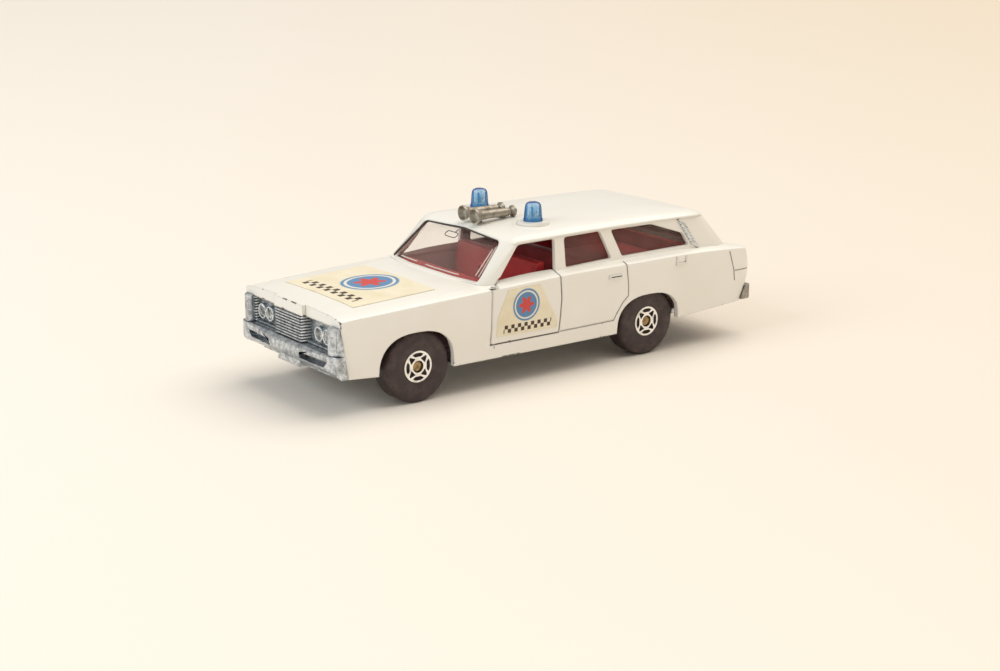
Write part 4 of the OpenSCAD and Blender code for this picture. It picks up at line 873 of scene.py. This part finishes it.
class TOYCAR_OT_cabin(bpy.types.Operator):
    """Windows, interior moulding and steering wheel."""

    bl_idname = "toycar.cabin"
    bl_label = "Windows and interior"

    def execute(self, context):
        dressed("window_glazing", "window_moulding", "car", "clear_plastic", window_plastic(colours()))
        red = red_plastic(colours())
        dressed("interior_tub", "interior_moulding", "car", "red_plastic", red, rounding=0.2)
        dressed("steering_wheel", "steering_moulding", "car", "red_plastic", red)
        strip = spring_strip()
        dressed("door_spring", "door_spring_strip", "car", "spring_steel", strip)
        self.add_leaf("front", 1, strip)
        self.add_leaf("rear", -1, strip)
        return {"FINISHED"}

    def add_leaf(self, end, way, material):
        """A flat leaf between its seat block and the axle's near side, cut across where it would bend."""
        node = f"{end}_axle_spring"
        low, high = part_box(node)
        tip = high.x if way > 0 else low.x
        bend_start = tip - way * LEAF_FREE
        bend_end = tip - way * LEAF_OVER_AXLE
        mesh = merged_copy(node)
        for k in range(LEAF_CUTS + 1):
            place = bend_start + (bend_end - bend_start) * k / LEAF_CUTS
            bmesh.ops.bisect_plane(mesh, geom=mesh.verts[:] + mesh.edges[:] + mesh.faces[:],
                                   plane_co=(place, 0, 0), plane_no=(1, 0, 0))
        mark_edges(mesh)
        leaf = add_piece(f"{node}_strip", mesh, material)
        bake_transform(leaf)
        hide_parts(node)


class TOYCAR_OT_wheels(bpy.types.Operator):
    """Wheels, hub inserts and axles."""

    bl_idname = "toycar.wheels"
    bl_label = "Wheels and axles"

    def execute(self, context):
        tyre = tyre_black(colours())
        plate = bright_plate()
        brass = axle_brass()
        for end in ("front", "rear"):
            dressed(f"{end}_axle", f"{end}_axle_wire", f"{end}_axle_set", "axle_steel", brass)
            for side in ("left", "right"):
                body = f"{end}_{side}_wheel_set"
                dressed(f"{end}_{side}_wheel", f"{end}_{side}_tyre", body, "black_tyre", tyre)
                dressed(f"{end}_{side}_hub", f"{end}_{side}_hub_plate", body, "bright_hub", plate,
                        rounding=0.14, segments=3)
        return {"FINISHED"}


CORE_BELOW_TOP = 1.9 * MM
RIB_BELOW_TOP = 2.0 * MM
RIB_FROM_MIDDLE = 1.0 * MM


class TOYCAR_OT_roof(bpy.types.Operator):
    """Beacons and air horns."""

    bl_idname = "toycar.roof"
    bl_label = "Roof equipment"

    def execute(self, context):
        blue = beacon_blue(colours())
        core = beacon_painted_light_core()
        dark = beacon_rib(colours())
        for side in ("left", "right"):
            dressed(f"{side}_beacon", f"{side}_beacon_dome", "car", "blue_plastic", blue)
            self.add_core(side, core, dark)
        dressed("air_horns", "horn_pair", "car", "silver_plastic", plated_silver())
        return {"FINISHED"}

    def add_core(self, side, material, dark):
        """A pale form inside the dome, painted light for the dome's bright centre, and the dark ribs."""
        low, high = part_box(f"{side}_beacon")
        middle = (low + high) / 2
        sizes = trim_sizes()
        mesh = small_bar((sizes.core_width, sizes.core_width, sizes.core_height), rounding=0.35)
        bmesh.ops.translate(mesh, vec=(middle.x, middle.y, high.z - CORE_BELOW_TOP), verts=mesh.verts)
        settle(add_piece(f"{side}_beacon_painted_light_core", mesh, material), "car", "blue_plastic")
        for end, way in (("front", 1), ("rear", -1)):
            rib = small_bar((sizes.beacon_rib, sizes.beacon_rib, sizes.beacon_rib_height))
            start = Vector((middle.x + way * RIB_FROM_MIDDLE, middle.y - RIB_FROM_MIDDLE,
                            high.z - RIB_BELOW_TOP))
            ribs = row_of(f"{side}_{end}_beacon_ribs", rib, start, (0, 2 * RIB_FROM_MIDDLE, 0), 2, 11, dark)
            settle(ribs, "car", "blue_plastic")


BONNET_ROUNDEL_RADIUS = 6.4
BONNET_ROUNDEL_BACK = 2.6
BONNET_BAR_AHEAD = 6.6
BONNET_BAR_SIZE = (20.4, 2.8)
DOOR_ROUNDEL_RADIUS = 3.6
DOOR_ROUNDEL_AHEAD = 0.4
DOOR_ROUNDEL_Z = 17.0
DOOR_BAR_Z = 12.4
DOOR_BAR_SIZE = (12.4, 1.7)


def middle_of(node):
    """The middle of a node's length in millimetres."""
    low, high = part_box(node)
    return (low.x + high.x) / 2 / MM


class TOYCAR_OT_labels(bpy.types.Operator):
    """Paper labels on the bonnet and doors."""

    bl_idname = "toycar.labels"
    bl_label = "Labels"

    def execute(self, context):
        middle = middle_of("bonnet_label")
        bonnet = label_paper("bonnet_paper", colours(), across=(1, -1), up=(0, -1),
                             roundel_place=(0.0, -middle + BONNET_ROUNDEL_BACK),
                             roundel_radius=BONNET_ROUNDEL_RADIUS,
                             bar_place=(0.0, -middle - BONNET_BAR_AHEAD), bar_size=BONNET_BAR_SIZE)
        dressed("bonnet_label", "bonnet_paper_label", "car", "label_paper", bonnet)
        middle = middle_of("left_door_label")
        for side, sign in (("left", -1), ("right", 1)):
            paper = label_paper(f"{side}_door_paper", colours(), across=(0, sign), up=(2, 1),
                                roundel_place=(sign * (middle + DOOR_ROUNDEL_AHEAD), DOOR_ROUNDEL_Z),
                                roundel_radius=DOOR_ROUNDEL_RADIUS,
                                bar_place=(sign * middle, DOOR_BAR_Z), bar_size=DOOR_BAR_SIZE)
            dressed(f"{side}_door_label", f"{side}_door_paper_label", f"{side}_door", "label_paper", paper)
        return {"FINISHED"}


FLOOR_HALF = 6
FLOOR_RIGHT = (-0.8 * MM, 0.6 * MM)
ROOM_COLOUR = (1.0, 0.955, 0.89, 1)
ROOM_STRENGTH = 0.53
BACKDROP_COLOUR = (0.96, 0.89, 0.79, 1)
SUN_SPREAD = math.radians(60)
SUN_PLACE = (-0.45, 0.06, 0.9)
SUN_STRENGTH = 1.95
SUN_COLOUR = (1.0, 0.95, 0.86)
WINDOW_WIDTH = 0.5
WINDOW_PLACE = (0.85, -0.05, 0.55)
WINDOW_STRENGTH = 3.6
WINDOW_COLOUR = (0.78, 0.91, 1.0)


class TOYCAR_OT_stage(bpy.types.Operator):
    """Pale floor, soft light and the camera."""

    bl_idname = "toycar.stage"
    bl_label = "Stage"

    def execute(self, context):
        scene = context.scene
        scene.view_settings.view_transform = "Standard"
        self.add_floor()
        self.add_world(scene)
        sun = bpy.data.lights.new("key_light", "SUN")
        sun.angle = SUN_SPREAD
        self.hang(sun, SUN_PLACE, SUN_STRENGTH, SUN_COLOUR)
        window = bpy.data.lights.new("window_light", "AREA")
        window.size = WINDOW_WIDTH
        self.hang(window, WINDOW_PLACE, WINDOW_STRENGTH, WINDOW_COLOUR)
        self.add_camera(scene)
        return {"FINISHED"}

    def add_floor(self):
        """A pale floor, painted warmer to the right where warm light falls."""
        mesh = bmesh.new()
        bmesh.ops.create_grid(mesh, x_segments=1, y_segments=1, size=FLOOR_HALF)
        net = Net("pale_floor")
        x, y = net.axes()[:2]
        right = x * FLOOR_RIGHT[0] + y * FLOOR_RIGHT[1]
        tone = net.noise(160, 2, seed=201.0)
        # Painted light: the floor colour turns warmer to the right, standing for warm light falling there.
        side = (right + tone * 0.12).steps(-0.25, 0.5)
        colour = net.blend(side, tuple(colours().floor), tuple(colours().floor_warm_light))
        net.principled(Base_Color=colour, Roughness=0.8, Specular_IOR_Level=0.1)
        add_piece("floor", mesh, net.material)

    def add_world(self, scene):
        """Even room light, with a pale backdrop that only the camera sees."""
        world = bpy.data.worlds.new("soft_room")
        scene.world = world
        world.use_nodes = True
        tree = world.node_tree
        room = tree.nodes["Background"]
        room.inputs["Color"].default_value = ROOM_COLOUR
        room.inputs["Strength"].default_value = ROOM_STRENGTH
        seen = tree.nodes.new("ShaderNodeBackground")
        seen.inputs["Color"].default_value = BACKDROP_COLOUR
        path = tree.nodes.new("ShaderNodeLightPath")
        mix = tree.nodes.new("ShaderNodeMixShader")
        tree.links.new(path.outputs["Is Camera Ray"], mix.inputs[0])
        tree.links.new(room.outputs[0], mix.inputs[1])
        tree.links.new(seen.outputs[0], mix.inputs[2])
        tree.links.new(mix.outputs[0], tree.nodes["World Output"].inputs["Surface"])

    def hang(self, lamp, place, strength, colour):
        """Puts a lamp at a place, turned to the car."""
        lamp.energy = strength
        lamp.color = colour
        holder = bpy.data.objects.new(lamp.name, lamp)
        holder.location = place
        holder.rotation_euler = (-Vector(place)).to_track_quat("-Z", "Y").to_euler()
        bpy.context.scene.collection.objects.link(holder)

    def add_camera(self, scene):
        """The camera that was fitted to the photograph."""
        camera = bpy.data.cameras.new("photo_view")
        camera.lens = CAMERA_LENS
        camera.clip_start = 0.01
        holder = bpy.data.objects.new("photo_view", camera)
        holder.location = CAMERA_PLACE
        ahead = Vector((-math.sin(CAMERA_YAW) * math.cos(CAMERA_PITCH),
                        -math.cos(CAMERA_YAW) * math.cos(CAMERA_PITCH), -math.sin(CAMERA_PITCH)))
        turn = ahead.to_track_quat("-Z", "Y").to_euler()
        turn.rotate_axis("Z", CAMERA_ROLL)
        holder.rotation_euler = turn
        scene.collection.objects.link(holder)
        scene.camera = holder


class TOYCAR_PT_panel(bpy.types.Panel):
    """The build steps and the settings."""

    bl_idname = "TOYCAR_PT_panel"
    bl_label = "Toy police car"
    bl_space_type = "VIEW_3D"
    bl_region_type = "UI"
    bl_category = "Toy car"

    def draw(self, context):
        for step in STEPS:
            self.layout.operator(step.bl_idname)
        for group in (trim_sizes(), colours()):
            for name in type(group).__annotations__:
                self.layout.prop(group, name)


STEPS = (TOYCAR_OT_stage, TOYCAR_OT_body, TOYCAR_OT_front_end, TOYCAR_OT_cabin, TOYCAR_OT_screen_trim,
         TOYCAR_OT_wheels, TOYCAR_OT_roof, TOYCAR_OT_labels)
CLASSES = (ToyCarColours, ToyCarSizes, *STEPS, TOYCAR_PT_panel)


def register():
    for each in CLASSES:
        bpy.utils.register_class(each)
    bpy.types.Scene.toy_car_colours = bpy.props.PointerProperty(type=ToyCarColours)
    bpy.types.Scene.toy_car_sizes = bpy.props.PointerProperty(type=ToyCarSizes)


def unregister():
    del bpy.types.Scene.toy_car_sizes
    del bpy.types.Scene.toy_car_colours
    for each in reversed(CLASSES):
        bpy.utils.unregister_class(each)


def main():
    register()
    for step in STEPS:
        group, name = step.bl_idname.split(".")
        getattr(getattr(bpy.ops, group), name)()


if __name__ == "__main__":
    main()
